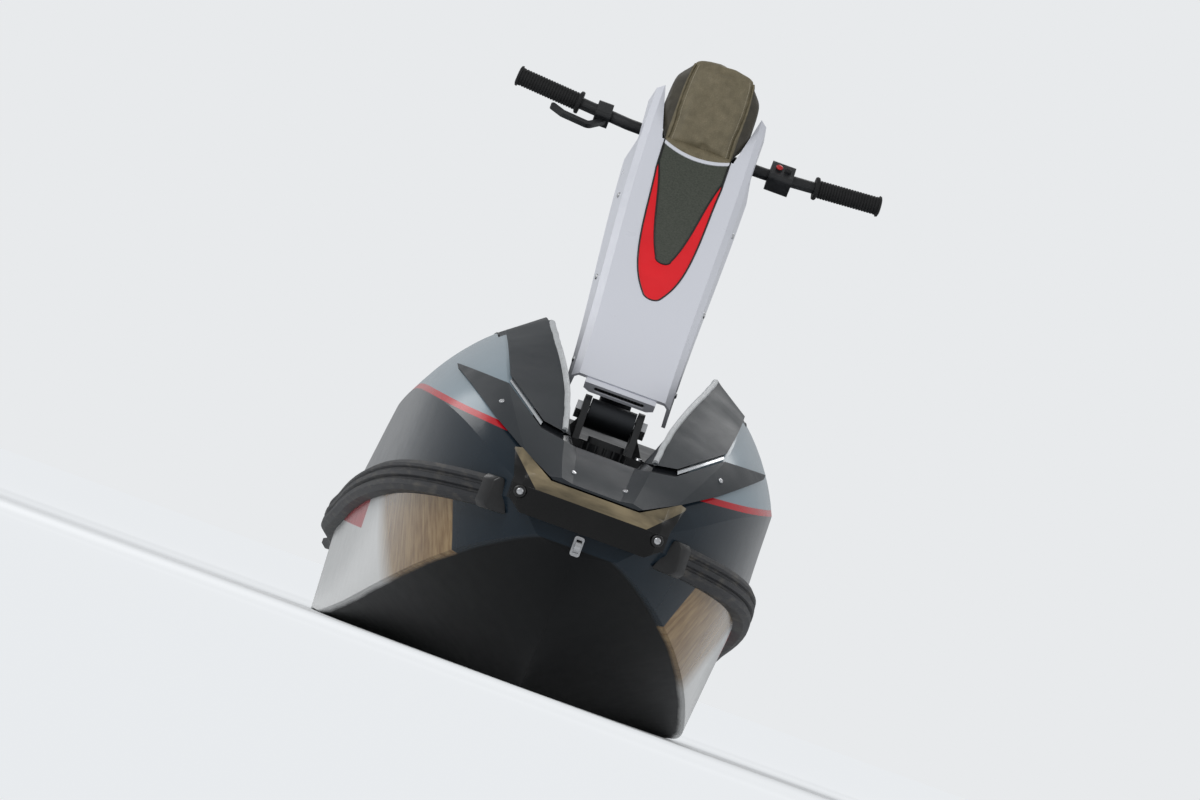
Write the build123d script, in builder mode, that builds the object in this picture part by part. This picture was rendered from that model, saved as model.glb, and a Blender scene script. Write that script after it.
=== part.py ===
from build123d import *
import os
from math import cos, radians, sin

# Stand up personal watercraft, in millimetres. The bow points to -Y, port is +X and up is +Z.
# The origin lies amidships on the running waterline. Stations are measured aft from the bow tip,
# and heights up from the keel line.

os.makedirs("parts", exist_ok=True)

# Overall sizes
LENGTH = 2655.0
BEAM = 765.0
WATERLINE = 90.0
RAIL_PROUD = 24.5
BOND_BOW = 400.0
BOND_STERN = 230.0
MOULDING_NOSE = 30.0
TRAY_FRONT = 1500.0
TRANSOM = LENGTH - 25.0

# Reach of a cut or a trimming form that goes right through what it meets
THROUGH = 600.0

# Small gaps between pieces
SEAT_GAP = 0.3
PANEL_GAP = 2.0
SHAFT_GAP = 0.05

# Handle pole: pivot, reach to the handlebar and the angle it is held at
PIVOT_STATION = 620.0
PIVOT_HEIGHT = 590.0
PIVOT_RADIUS = 12.0
POLE_ANGLE = 40.0
BAR_REACH = 790.0
BAR_RISE = 14.0

SIDES = (("port", 1), ("starboard", -1))


def station(s):
    """Cross section plane at a station: local x is +X, local y is the height over the keel."""
    return Plane(origin=(0, s - LENGTH / 2, -WATERLINE), x_dir=(1, 0, 0), z_dir=(0, -1, 0))


def profile(x=0.0):
    """Side view plane: local x is the station, local y is the height over the keel."""
    return Plane(origin=(x, -LENGTH / 2, -WATERLINE), x_dir=(0, 1, 0), z_dir=(1, 0, 0))


def level(h):
    """Plan plane at a height: local x is +X, local y is the station."""
    return Plane(origin=(0, -LENGTH / 2, h - WATERLINE), x_dir=(1, 0, 0), z_dir=(0, 0, 1))


def both_halves(points):
    """Closed outline through the points on +X and the same points mirrored to -X."""
    mirrored = [(-x, h) for x, h in reversed(points) if x > 0]
    return points + mirrored


# Bond line where the two mouldings meet: station, how far inside the widest place
BOND_PLAN = {
    MOULDING_NOSE: 240.0,
    80.0: 193.0,
    160.0: 141.0,
    300.0: 83.0,
    500.0: 42.0,
    760.0: 19.0,
    1000.0: 8.0,
    1250.0: 2.0,
    1380.0: 0.5,
    TRAY_FRONT: 0.0,
    TRANSOM - 780.0: 0.0,
    TRANSOM - 380.0: 8.0,
    TRANSOM: 26.0,
}


def bond_half(s):
    return BEAM / 2 - RAIL_PROUD - BOND_PLAN[s]


def bond_height(s):
    return BOND_BOW - (BOND_BOW - BOND_STERN) * s / LENGTH


# Bottom moulding: station, keel height, chine half width, chine height
HULL_SECTIONS = (
    (MOULDING_NOSE, 338.0, 62.0, 350.0),
    (80.0, 270.0, 105.0, 328.0),
    (160.0, 196.0, 155.0, 297.0),
    (300.0, 116.0, 212.0, 250.0),
    (500.0, 50.0, 258.0, 200.0),
    (760.0, 14.0, 292.0, 155.0),
    (1000.0, 3.0, 312.0, 125.0),
    (1250.0, 0.0, 325.0, 106.0),
    (TRAY_FRONT, 0.0, 331.0, 95.0),
    (TRANSOM - 780.0, 0.0, 333.0, 90.0),
    (TRANSOM - 380.0, 0.0, 330.0, 88.0),
    (TRANSOM, 0.0, 318.0, 86.0),
)
CHINE_FLAT = 13.0
CHINE_RISE = 3.0

# Engine and its bay
BAY_FRONT = 880.0
BAY_BACK = 1440.0
BAY_HALF = 160.0
BAY_FLOOR = 92.0
BAY_CORNER = 60.0
ENGINE_LENGTH = 500.0
ENGINE_WIDTH = 270.0
ENGINE_HEIGHT = 430.0
ENGINE_CHAMFER = 25.0

# Jet pump: its axis, the tunnel it sits in and the intake ahead of it
PUMP_AXIS = 112.0
PUMP_FACE = TRANSOM - 545.0
PUMP_BORE = 72.0
PUMP_WALL = 10.0
TUNNEL_HALF = 100.0
INTAKE_FRONT = PUMP_FACE - 385.0
INTAKE_BACK = PUMP_FACE - 100.0
INTAKE_LIP = 40.0
INTAKE_LOW = -20.0
INTAKE_ROOF = PUMP_AXIS + PUMP_BORE - 6.0
SHAFT_RADIUS = 14.0
SHAFT_TUBE = SHAFT_RADIUS + 8.0


def bottom_form(grow):
    """Bottom moulding as one solid, its sides grown outwards."""
    with BuildPart() as form:
        for s, keel, chine_half, chine in HULL_SECTIONS:
            with BuildSketch(station(s)):
                with BuildLine():
                    points = [
                        (0, keel),
                        (chine_half, chine),
                        (chine_half + CHINE_FLAT + grow, chine + CHINE_RISE),
                        (bond_half(s) + grow, bond_height(s)),
                    ]
                    Polyline(*both_halves(points), close=True)
                make_face()
        loft()
    return form.part


hull_form = bottom_form(0)

with BuildPart() as hull:
    add(hull_form)
    with BuildSketch(level(BAY_FLOOR)):
        with Locations((0, (BAY_FRONT + BAY_BACK) / 2)):
            RectangleRounded(2 * BAY_HALF, BAY_BACK - BAY_FRONT, BAY_CORNER)
    extrude(amount=THROUGH, mode=Mode.SUBTRACT)
    # Pump tunnel, arched and open below and at the transom
    with BuildSketch(station(PUMP_FACE)):
        with Locations((0, PUMP_AXIS)):
            Circle(TUNNEL_HALF)
        with Locations((0, PUMP_AXIS / 2 - 50)):
            Rectangle(2 * TUNNEL_HALF, PUMP_AXIS + 100)
    extrude(amount=-(TRANSOM - PUMP_FACE + 50), mode=Mode.SUBTRACT)
    # Intake scoop, rising from the keel to the pump's face
    with BuildSketch(profile()):
        with BuildLine():
            Polyline(
                (INTAKE_FRONT, INTAKE_LOW),
                (INTAKE_BACK, INTAKE_ROOF),
                (PUMP_FACE + 1, INTAKE_ROOF),
                (PUMP_FACE + 1, INTAKE_LIP),
                (INTAKE_BACK + 20, INTAKE_LIP),
                (INTAKE_BACK - 10, INTAKE_LOW),
                close=True,
            )
        make_face()
    extrude(amount=PUMP_BORE - 4, both=True, mode=Mode.SUBTRACT)
    # Tube for the drive shaft between the bay and the scoop
    with BuildSketch(station(BAY_BACK - 5)):
        with Locations((0, PUMP_AXIS)):
            Circle(SHAFT_TUBE)
    extrude(amount=-(INTAKE_BACK - BAY_BACK), mode=Mode.SUBTRACT)

hull.part.label = "hull"
export_step(hull.part, "parts/hull.step")

# Upper form ahead of the tray: station, then half width and height of the side knuckle,
# the outer shoulder, the ridge beside the pole's valley and the foot of the valley
FORE_SECTIONS = (
    (MOULDING_NOSE, (122, 424), (100, 444), (66, 452), (44, 448)),
    (80.0, (168, 446), (134, 472), (74, 480), (48, 470)),
    (160.0, (216, 476), (166, 520), (82, 524), (52, 500)),
    (300.0, (272, 508), (202, 584), (98, 598), (62, 520)),
    (500.0, (316, 524), (218, 638), (132, 670), (88, 524)),
    (760.0, (334, 528), (229, 672), (160, 722), (122, 548)),
    (1000.0, (338, 524), (231, 664), (163, 716), (125, 560)),
    (1250.0, (339, 512), (240, 616), (164, 662), (127, 574)),
    (1380.0, (340, 502), (260, 580), (172, 614), (129, 566)),
    (TRAY_FRONT, (340, 492), (296, 546), (190, 556), (130, 553)),
)
# Gunwales: station, then side knuckle, outer and inner edge of the flat top
AFT_SECTIONS = (
    (TRAY_FRONT, (340, 492), (296, 546), (262, 548)),
    (TRANSOM - 780.0, (338, 440), (306, 480), (264, 480)),
    (TRANSOM - 380.0, (330, 398), (304, 424), (264, 424)),
    (TRANSOM, (314, 376), (294, 398), (258, 398)),
)
SIDE_CROWN = 0.06
TRAY_HALF = 236.0
TRAY_FLOOR = 12.0


def draw_section(s, side, shoulder, ridge, foot, grow, sink):
    """Draws one closed section from sink below the bond line, its sides crowned."""
    bond = bond_half(s) + grow
    lean = (bond - side[0]) / (side[1] - bond_height(s))
    edge = (bond + lean * sink, bond_height(s) - sink)
    run, rise = side[0] - shoulder[0], shoulder[1] - side[1]
    middle = ((side[0] + shoulder[0]) / 2, (side[1] + shoulder[1]) / 2)
    crown = (middle[0] + SIDE_CROWN * rise, middle[1] + SIDE_CROWN * run)
    left = [(-x, h) for x, h in (edge, side, crown, shoulder, ridge, foot)]
    Polyline(edge, side)
    ThreePointArc(side, crown, shoulder)
    Polyline(shoulder, ridge, foot, left[5], left[4], left[3])
    ThreePointArc(left[3], left[2], left[1])
    Polyline(left[1], left[0], edge)


def fore_form(grow, foot_grow, sink=0):
    """Upper form ahead of the tray, grown outwards, with its valley floor raised by foot_grow."""
    with BuildPart() as form:
        for s, side, shoulder, ridge, foot in FORE_SECTIONS:
            nose = grow if s == MOULDING_NOSE else 0
            plane = station(s - nose)
            with BuildSketch(plane):
                with BuildLine():
                    draw_section(
                        s,
                        (side[0] + grow, side[1] + grow / 2),
                        (shoulder[0] + grow / 2, shoulder[1] + grow),
                        (ridge[0], ridge[1] + grow),
                        (foot[0], foot[1] + foot_grow),
                        grow,
                        sink,
                    )
                make_face()
        loft()
    return form.part


def aft_form(grow, raise_top, sink=0):
    """Gunwales and tray, a U-shaped form open at the stern, its sides and flat tops grown."""
    with BuildPart() as form:
        for s, side, shoulder, ridge in AFT_SECTIONS:
            with BuildSketch(station(s)):
                with BuildLine():
                    draw_section(
                        s,
                        (side[0] + grow, side[1]),
                        (shoulder[0], shoulder[1] + raise_top),
                        (ridge[0], ridge[1] + raise_top),
                        (TRAY_HALF, bond_height(s) + TRAY_FLOOR),
                        grow,
                        sink,
                    )
                make_face()
        loft()
    return form.part


upper_form = fore_form(0, 0)
gunwale_form = aft_form(0, 0)

# The same forms a seat gap larger and sunk into each other, to cut what lies on them
SEAT_SINK = 3.0
hull_seat = bottom_form(SEAT_GAP)
upper_seat = fore_form(SEAT_GAP, SEAT_GAP, SEAT_SINK)
gunwale_seat = aft_form(SEAT_GAP, SEAT_GAP, SEAT_SINK)

# Engine hood: station and half width of its edge, the sill it sits on and its wall
HOOD_PLAN = ((705.0, 233.0), (1000.0, 236.0), (1250.0, 248.0), (1465.0, 284.0))
HOOD_SILL = 500.0
HOOD_WALL = 9.0


def hood_outline(inset):
    """Plan of the hood, pulled in by inset."""
    points = []
    for row, (s, half) in enumerate(HOOD_PLAN):
        shift = inset if row == 0 else -inset if row == len(HOOD_PLAN) - 1 else 0
        points.append((half - inset, s + shift))
    mirrored = [(-x, s) for x, s in reversed(points)]
    return points + mirrored


# Seats in the floor of the pole's valley
BRACKET_FRONT = 540.0
BRACKET_BACK = 692.0
BRACKET_HALF = 82.0
BRACKET_SEAT = 526.0
CAP_STATION = 410.0
CAP_RADIUS = 42.0
CAP_SEAT = 519.0

with BuildPart() as deck:
    add(upper_form)
    add(gunwale_form)
    with BuildSketch(level(HOOD_SILL)):
        with BuildLine():
            Polyline(*hood_outline(-PANEL_GAP), close=True)
        make_face()
    extrude(amount=THROUGH, mode=Mode.SUBTRACT)
    with BuildSketch(level(BAY_FLOOR)):
        with Locations((0, (BAY_FRONT + BAY_BACK) / 2)):
            RectangleRounded(2 * BAY_HALF, BAY_BACK - BAY_FRONT, BAY_CORNER)
    extrude(amount=THROUGH, mode=Mode.SUBTRACT)

    # Flat seats for the pole's bracket and the fuel cap in the valley floor
    with BuildSketch(level(BRACKET_SEAT)):
        with Locations((0, (BRACKET_FRONT + BRACKET_BACK) / 2)):
            Rectangle(2 * BRACKET_HALF + 2 * PANEL_GAP, BRACKET_BACK - BRACKET_FRONT + 2 * PANEL_GAP)
    extrude(amount=THROUGH, mode=Mode.SUBTRACT)
    with BuildSketch(level(CAP_SEAT)):
        with Locations((0, CAP_STATION)):
            Circle(CAP_RADIUS + PANEL_GAP)
    extrude(amount=THROUGH, mode=Mode.SUBTRACT)

deck.part.label = "deck"
export_step(deck.part, "parts/deck.step")

inner_form = fore_form(-HOOD_WALL, -HOOD_WALL)
with BuildPart() as hood_core:
    add(inner_form)
    with BuildSketch(level(HOOD_SILL)):
        with BuildLine():
            Polyline(*hood_outline(HOOD_WALL), close=True)
        make_face()
    extrude(amount=THROUGH, mode=Mode.INTERSECT)

with BuildPart() as engine_hood:
    add(upper_form)
    with BuildSketch(level(HOOD_SILL + SEAT_GAP)):
        with BuildLine():
            Polyline(*hood_outline(0), close=True)
        make_face()
    extrude(amount=THROUGH, mode=Mode.INTERSECT)
    add(hood_core.part, mode=Mode.SUBTRACT)

engine_hood.part.label = "engine_hood"
export_step(engine_hood.part, "parts/engine_hood.step")

with BuildPart() as engine_block:
    with BuildSketch(level(BAY_FLOOR)):
        with Locations((0, (BAY_FRONT + BAY_BACK) / 2)):
            Rectangle(ENGINE_WIDTH, ENGINE_LENGTH)
    extrude(amount=ENGINE_HEIGHT)
    chamfer(engine_block.edges().filter_by(Axis.Z), ENGINE_CHAMFER)

engine_block.part.label = "engine_block"
export_step(engine_block.part, "parts/engine_block.step")

# Panels that stand proud of the deck
PANEL_PROUD = 8.0
PANEL_SINK = 4.0
FAIRING_END = 702.0
COWL_END = 620.0
FAIRING_FRONT_VIEW = ((50, 533), (125, 545), (203, 602), (232, 700), (232, 780), (50, 780))
COWL_LOWER = ((0, 452), (80, 452), (150, 488), (210, 525), (287, 583))
COWL_UPPER = ((290, 592), (202, 587), (125, 531), (60, 521))

fairing_skin = fore_form(PANEL_PROUD, -PANEL_SINK)
for name, way in SIDES:
    with BuildPart() as fairing:
        add(fairing_skin)
        add(upper_seat, mode=Mode.SUBTRACT)
        with BuildSketch(station(0)):
            with BuildLine():
                Polyline(*[(way * x, h) for x, h in FAIRING_FRONT_VIEW], close=True)
            make_face()
        extrude(amount=-FAIRING_END, mode=Mode.INTERSECT)
    fairing.part.label = f"shoulder_fairing_{name}"
    export_step(fairing.part, f"parts/shoulder_fairing_{name}.step")

cowl_skin = fore_form(PANEL_PROUD, PANEL_PROUD)
with BuildPart() as nose_cowl:
    add(cowl_skin)
    add(upper_seat, mode=Mode.SUBTRACT)
    with BuildSketch(station(0)):
        with BuildLine():
            Polyline(*both_halves(list(COWL_LOWER) + list(COWL_UPPER)), close=True)
        make_face()
    extrude(amount=-COWL_END, mode=Mode.INTERSECT)

nose_cowl.part.label = "nose_cowl"
export_step(nose_cowl.part, "parts/nose_cowl.step")

# Bright slot between the cowl's upper edge and each fairing
DUCT_PROUD = 5.0
DUCT_FRONT_VIEW = ((128, 536), (201, 591), (199, 598), (126, 543))
duct_skin = fore_form(DUCT_PROUD, -PANEL_SINK)
for name, way in SIDES:
    with BuildPart() as duct:
        add(duct_skin)
        add(upper_seat, mode=Mode.SUBTRACT)
        with BuildSketch(station(0)):
            with BuildLine():
                Polyline(*[(way * x, h) for x, h in DUCT_FRONT_VIEW], close=True)
            make_face()
        extrude(amount=-FAIRING_END, mode=Mode.INTERSECT)
    duct.part.label = f"duct_inlet_{name}"
    export_step(duct.part, f"parts/duct_inlet_{name}.step")

# Nose bumper: front view, plan and the two round caps in it
BUMPER_FRONT_VIEW = ((0, 378), (116, 378), (142, 398), (146, 436), (160, 484), (148, 487), (82, 449), (0, 449))
BUMPER_DEPTH = 84.0
BUMPER_PLAN = ((0, 0), (84, 3), (128, 16), (152, 40), (166, BUMPER_DEPTH), (0, BUMPER_DEPTH))
CAP_BOLT_X = 128.0
CAP_BOLT_HEIGHT = 413.0
CAP_BOLT_RADIUS = 11.0
CAP_BOLT_FRONT = 8.0
CAP_BOLT_LENGTH = 19.0
CAP_BOLT_ROUND = 3.0
with BuildPart() as nose_bumper:
    with BuildSketch(station(0)):
        with BuildLine():
            Polyline(*both_halves(list(BUMPER_FRONT_VIEW)), close=True)
        make_face()
    extrude(amount=-BUMPER_DEPTH)
    with BuildSketch(level(BUMPER_FRONT_VIEW[0][1] - 10)):
        with BuildLine():
            Polyline(*both_halves(list(BUMPER_PLAN)), close=True)
        make_face()
    extrude(amount=THROUGH, mode=Mode.INTERSECT)
    add(hull_seat, mode=Mode.SUBTRACT)
    add(upper_seat, mode=Mode.SUBTRACT)
    with BuildSketch(station(0)):
        with Locations((CAP_BOLT_X, CAP_BOLT_HEIGHT), (-CAP_BOLT_X, CAP_BOLT_HEIGHT)):
            Circle(CAP_BOLT_RADIUS + SEAT_GAP)
    extrude(amount=-BUMPER_DEPTH, mode=Mode.SUBTRACT)

nose_bumper.part.label = "nose_bumper"
export_step(nose_bumper.part, "parts/nose_bumper.step")

with BuildPart() as bumper_caps:
    with BuildSketch(station(CAP_BOLT_FRONT)):
        with Locations((CAP_BOLT_X, CAP_BOLT_HEIGHT), (-CAP_BOLT_X, CAP_BOLT_HEIGHT)):
            Circle(CAP_BOLT_RADIUS)
    extrude(amount=-CAP_BOLT_LENGTH)
    fillet(bumper_caps.faces().sort_by(Axis.Y)[:2].edges(), CAP_BOLT_ROUND)

bumper_caps.part.label = "bumper_caps"
export_step(bumper_caps.part, "parts/bumper_caps.step")

# Rub rail: ribbed profile as offsets from the bond edge, outwards and up
RAIL_START = 80.0
RAIL_INSIDE = 30.0
RAIL_PROFILE = (
    (-RAIL_INSIDE, -26),
    (15, -28),
    (RAIL_PROUD, -20),
    (RAIL_PROUD, -11),
    (RAIL_PROUD - 6, -8),
    (RAIL_PROUD - 6, -5),
    (RAIL_PROUD, -2),
    (RAIL_PROUD, 6),
    (RAIL_PROUD - 6, 9),
    (RAIL_PROUD - 6, 12),
    (RAIL_PROUD - 2, 15),
    (RAIL_PROUD - 2, 20),
    (15, 28),
    (-RAIL_INSIDE, 26),
)
for name, way in SIDES:
    with BuildPart() as rail:
        for s in BOND_PLAN:
            if s < RAIL_START:
                continue
            with BuildSketch(station(s + (5 if s == RAIL_START else 0))):
                with BuildLine():
                    Polyline(
                        *[(way * (bond_half(s) + x), bond_height(s) + h) for x, h in RAIL_PROFILE],
                        close=True,
                    )
                make_face()
        loft()
        add(hull_seat, mode=Mode.SUBTRACT)
        add(upper_seat, mode=Mode.SUBTRACT)
        add(gunwale_seat, mode=Mode.SUBTRACT)
    rail.part.label = f"rub_rail_{name}"
    export_step(rail.part, f"parts/rub_rail_{name}.step")

# Pads: the mat in the tray and one strip on each gunwale
MAT_THICK = 8.0
MAT_EDGE = 7.0
PAD_THICK = 8.0
PAD_INNER = 266.0
PAD_OUTER = 293.0
PAD_FRONT = TRAY_FRONT + 40.0
PAD_BACK = TRANSOM - 110.0
PAD_CORNER = 12.0


def tray_floor(s):
    return bond_height(s) + TRAY_FLOOR


with BuildPart() as tray_mat:
    with BuildSketch(profile()):
        with BuildLine():
            Polyline(
                (TRAY_FRONT + MAT_EDGE, tray_floor(TRAY_FRONT + MAT_EDGE)),
                (TRANSOM - MAT_EDGE, tray_floor(TRANSOM - MAT_EDGE)),
                (TRANSOM - MAT_EDGE, tray_floor(TRANSOM - MAT_EDGE) + MAT_THICK),
                (TRAY_FRONT + MAT_EDGE, tray_floor(TRAY_FRONT + MAT_EDGE) + MAT_THICK),
                close=True,
            )
        make_face()
    extrude(amount=TRAY_HALF - MAT_EDGE, both=True)
    fillet(tray_mat.edges().filter_by(Axis.Z), 2)

tray_mat.part.label = "tray_mat"
export_step(tray_mat.part, "parts/tray_mat.step")

pad_skin = aft_form(0, PAD_THICK)
for name, way in SIDES:
    with BuildPart() as pad:
        add(pad_skin)
        add(gunwale_seat, mode=Mode.SUBTRACT)
        with BuildSketch(level(BOND_STERN)):
            with Locations((way * (PAD_INNER + PAD_OUTER) / 2, (PAD_FRONT + PAD_BACK) / 2)):
                RectangleRounded(PAD_OUTER - PAD_INNER, PAD_BACK - PAD_FRONT, PAD_CORNER)
        extrude(amount=THROUGH, mode=Mode.INTERSECT)
    pad.part.label = f"gunwale_pad_{name}"
    export_step(pad.part, f"parts/gunwale_pad_{name}.step")

# Eyes for ropes and straps: a drilled lug on a plate
LUG_THICK = 10.0
LUG_RADIUS = 12.0
LUG_HOLE = 7.0
LUG_PLATE_WIDTH = 18.0
LUG_PLATE_THICK = 4.0
BOW_EYE_HEIGHT = 356.0
BOW_EYE_REACH = 15.0
BOW_PLATE_HIGH = 36.0
STERN_PLATE_HIGH = 50.0
STERN_EYE_X = 250.0
STERN_EYE_HEIGHT = 300.0


def eye(face, reach, x, height, plate_high):
    """Lug that reaches forward (negative) or aft of the face station, drilled along X."""
    with BuildPart() as lug:
        with BuildSketch(station(face)):
            with Locations((x, height)):
                RectangleRounded(LUG_PLATE_WIDTH, plate_high, 5)
        extrude(amount=LUG_PLATE_THICK if reach < 0 else -LUG_PLATE_THICK)
        with BuildSketch(profile(x)):
            with Locations((face + reach, height)):
                Circle(LUG_RADIUS)
            with Locations((face + reach / 2, height)):
                Rectangle(abs(reach), 2 * LUG_RADIUS)
        extrude(amount=LUG_THICK / 2, both=True)
        with BuildSketch(profile(x)):
            with Locations((face + reach, height)):
                Circle(LUG_HOLE)
        extrude(amount=LUG_THICK, both=True, mode=Mode.SUBTRACT)
    return lug.part


bow_eye = eye(MOULDING_NOSE, -BOW_EYE_REACH, 0, BOW_EYE_HEIGHT, BOW_PLATE_HIGH)
bow_eye.label = "bow_eye"
export_step(bow_eye, "parts/bow_eye.step")
for name, way in SIDES:
    reach = LENGTH - TRANSOM - LUG_RADIUS
    stern_eye = eye(TRANSOM, reach, way * STERN_EYE_X, STERN_EYE_HEIGHT, STERN_PLATE_HIGH)
    stern_eye.label = f"stern_eye_{name}"
    export_step(stern_eye, f"parts/stern_eye_{name}.step")

# Fuel filler cap, a knurled disc with a raised grip
CAP_HEIGHT = 18.0
CAP_NOTCHES = 16
CAP_NOTCH_RADIUS = 3.5
CAP_GRIP_WIDTH = 16.0
CAP_GRIP_HEIGHT = 12.0
with BuildPart() as fuel_cap:
    with BuildSketch(level(CAP_SEAT)):
        with Locations((0, CAP_STATION)):
            Circle(CAP_RADIUS)
    extrude(amount=CAP_HEIGHT)
    with BuildSketch(level(CAP_SEAT + 4)):
        with Locations((0, CAP_STATION)):
            with PolarLocations(CAP_RADIUS + 1, CAP_NOTCHES):
                Circle(CAP_NOTCH_RADIUS)
    extrude(amount=CAP_HEIGHT, mode=Mode.SUBTRACT)
    with BuildSketch(level(CAP_SEAT + CAP_HEIGHT)):
        with Locations((0, CAP_STATION)):
            SlotOverall(2 * CAP_RADIUS - CAP_GRIP_WIDTH, CAP_GRIP_WIDTH)
    extrude(amount=CAP_GRIP_HEIGHT)

fuel_cap.part.label = "fuel_cap"
export_step(fuel_cap.part, "parts/fuel_cap.step")

# Pole bracket: base plate, two ears and the shaft through them
EAR_INSIDE = 44.0
EAR_THICK = 12.0
EAR_RADIUS = 30.0
EAR_WIDE = EAR_RADIUS * cos(radians(20))
EAR_HIGH = EAR_RADIUS * sin(radians(20))
BASE_THICK = 12.0
BASE_CORNER = 10.0
GUSSET_HALF = 6.0
with BuildPart() as pole_bracket:
    with BuildSketch(level(BRACKET_SEAT)):
        with Locations((0, (BRACKET_FRONT + BRACKET_BACK) / 2)):
            RectangleRounded(2 * BRACKET_HALF, BRACKET_BACK - BRACKET_FRONT, BASE_CORNER)
    extrude(amount=BASE_THICK)
    for _, way in SIDES:
        with BuildSketch(profile(way * (EAR_INSIDE + EAR_THICK / 2))):
            with BuildLine():
                Polyline(
                    (BRACKET_FRONT + 12, BRACKET_SEAT + BASE_THICK / 2),
                    (BRACKET_BACK - 8, BRACKET_SEAT + BASE_THICK / 2),
                    (PIVOT_STATION + EAR_WIDE, PIVOT_HEIGHT + EAR_HIGH),
                    (PIVOT_STATION - EAR_WIDE, PIVOT_HEIGHT + EAR_HIGH),
                    close=True,
                )
            make_face()
            with Locations((PIVOT_STATION, PIVOT_HEIGHT)):
                Circle(EAR_RADIUS)
        extrude(amount=EAR_THICK / 2, both=True)
        # Gusset that braces each ear on its outer side
        with BuildSketch(station(PIVOT_STATION)):
            with BuildLine():
                Polyline(
                    (way * (EAR_INSIDE + EAR_THICK - 1), BRACKET_SEAT + BASE_THICK - 1),
                    (way * (BRACKET_HALF - 4), BRACKET_SEAT + BASE_THICK - 1),
                    (way * (EAR_INSIDE + EAR_THICK - 1), PIVOT_HEIGHT - 14),
                    close=True,
                )
            make_face()
        extrude(amount=GUSSET_HALF, both=True)
    with BuildSketch(profile()):
        with Locations((PIVOT_STATION, PIVOT_HEIGHT)):
            Circle(PIVOT_RADIUS + SHAFT_GAP)
    extrude(amount=BRACKET_HALF, both=True, mode=Mode.SUBTRACT)

pole_bracket.part.label = "pole_bracket"
export_step(pole_bracket.part, "parts/pole_bracket.step")

PIVOT_NUT_RADIUS = 18.0
PIVOT_NUT_THICK = 9.0
with BuildPart() as pole_pivot_shaft:
    with BuildSketch(profile()):
        with Locations((PIVOT_STATION, PIVOT_HEIGHT)):
            Circle(PIVOT_RADIUS)
    extrude(amount=EAR_INSIDE + EAR_THICK + 1, both=True)
    for _, way in SIDES:
        with BuildSketch(profile(way * (EAR_INSIDE + EAR_THICK + 0.5))):
            with Locations((PIVOT_STATION, PIVOT_HEIGHT)):
                RegularPolygon(PIVOT_NUT_RADIUS, 6)
        extrude(amount=way * PIVOT_NUT_THICK)

pole_pivot_shaft.part.label = "pole_pivot_shaft"
export_step(pole_pivot_shaft.part, "parts/pole_pivot_shaft.step")

# Handle pole. u runs along it from the pivot, v square to it and upwards
ALONG = Vector(0, cos(radians(POLE_ANGLE)), sin(radians(POLE_ANGLE)))
ACROSS = Vector(0, -sin(radians(POLE_ANGLE)), cos(radians(POLE_ANGLE)))
PIVOT = Vector(0, PIVOT_STATION - LENGTH / 2, PIVOT_HEIGHT - WATERLINE)


def pole_section(u):
    """Plane square to the pole: local x is +X, local y is v."""
    return Plane(origin=PIVOT + ALONG * u, x_dir=(1, 0, 0), z_dir=ALONG * -1)


def pole_profile(x=0.0):
    """Side view of the pole: local x is u, local y is v."""
    return Plane(origin=PIVOT + Vector(x, 0, 0), x_dir=ALONG, z_dir=(1, 0, 0))


def pole_top(v):
    """Top view of the pole: local x is +X, local y is u."""
    return Plane(origin=PIVOT + ACROSS * v, x_dir=(1, 0, 0), z_dir=ACROSS)


ARM_HALF = 28.0
ARM_TOP = 14.0
ARM_BOTTOM = -36.0
ARM_TAPER = 60.0
BOSS_RADIUS = 27.0
BOSS_HALF = EAR_INSIDE - 2.0
STEM_RADIUS = 14.0
STEM_BOSS_RADIUS = 30.0
STEM_BOSS_TOP = -6.0
STEM_BOSS_BOTTOM = -46.0
with BuildPart() as pole_arm:
    with BuildSketch(pole_profile()):
        with BuildLine():
            Polyline(
                (0, ARM_TOP + 8),
                (ARM_TAPER, ARM_TOP),
                (BAR_REACH - 90, ARM_TOP),
                (BAR_REACH - 55, STEM_BOSS_TOP),
                (BAR_REACH, STEM_BOSS_TOP),
                (BAR_REACH, STEM_BOSS_BOTTOM),
                (BAR_REACH - 90, ARM_BOTTOM),
                (ARM_TAPER, ARM_BOTTOM),
                (0, -BOSS_RADIUS + 3),
                close=True,
            )
        make_face()
    extrude(amount=ARM_HALF, both=True)
    with BuildSketch(pole_profile()):
        Circle(BOSS_RADIUS)
    extrude(amount=BOSS_HALF, both=True)
    with BuildSketch(pole_top(STEM_BOSS_BOTTOM)):
        with Locations((0, BAR_REACH)):
            Circle(STEM_BOSS_RADIUS)
    extrude(amount=STEM_BOSS_TOP - STEM_BOSS_BOTTOM)
    with BuildSketch(pole_profile()):
        Circle(PIVOT_RADIUS + SHAFT_GAP)
    extrude(amount=THROUGH, both=True, mode=Mode.SUBTRACT)
    with BuildSketch(pole_top(STEM_BOSS_BOTTOM)):
        with Locations((0, BAR_REACH)):
            Circle(STEM_RADIUS + SHAFT_GAP)
    extrude(amount=THROUGH, both=True, mode=Mode.SUBTRACT)

pole_arm.part.label = "pole_arm"
export_step(pole_arm.part, "parts/pole_arm.step")

# Cover over the pole: u, half width and v of the top, half width and v of the skirt
COVER_SECTIONS = (
    (28.0, 93, 56, 97, 2),
    (400.0, 100, 60, 107, -6),
    (700.0, 106, 68, 117, -12),
    (835.0, 105, 92, 118, 2),
)
COVER_WALL = 6.0
COVER_EDGE = 12.0
INLAY_DEPTH = 2.5
# Where the pad and its inlay begin, and half width of the gap between the horns there and at the tips
PAD_START = 717.0
HORN_ROOT = 68.0
HORN_TIP = 93.0
# Opening in each skirt for the turning bar: its length, its height and the v of its middle
BAR_OPENING = 176.0
BAR_OPENING_HIGH = 76.0
BAR_OPENING_V = 8.0
# Level under the cover's top from which its cuts start
UNDER_TOP = 20.0
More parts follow.
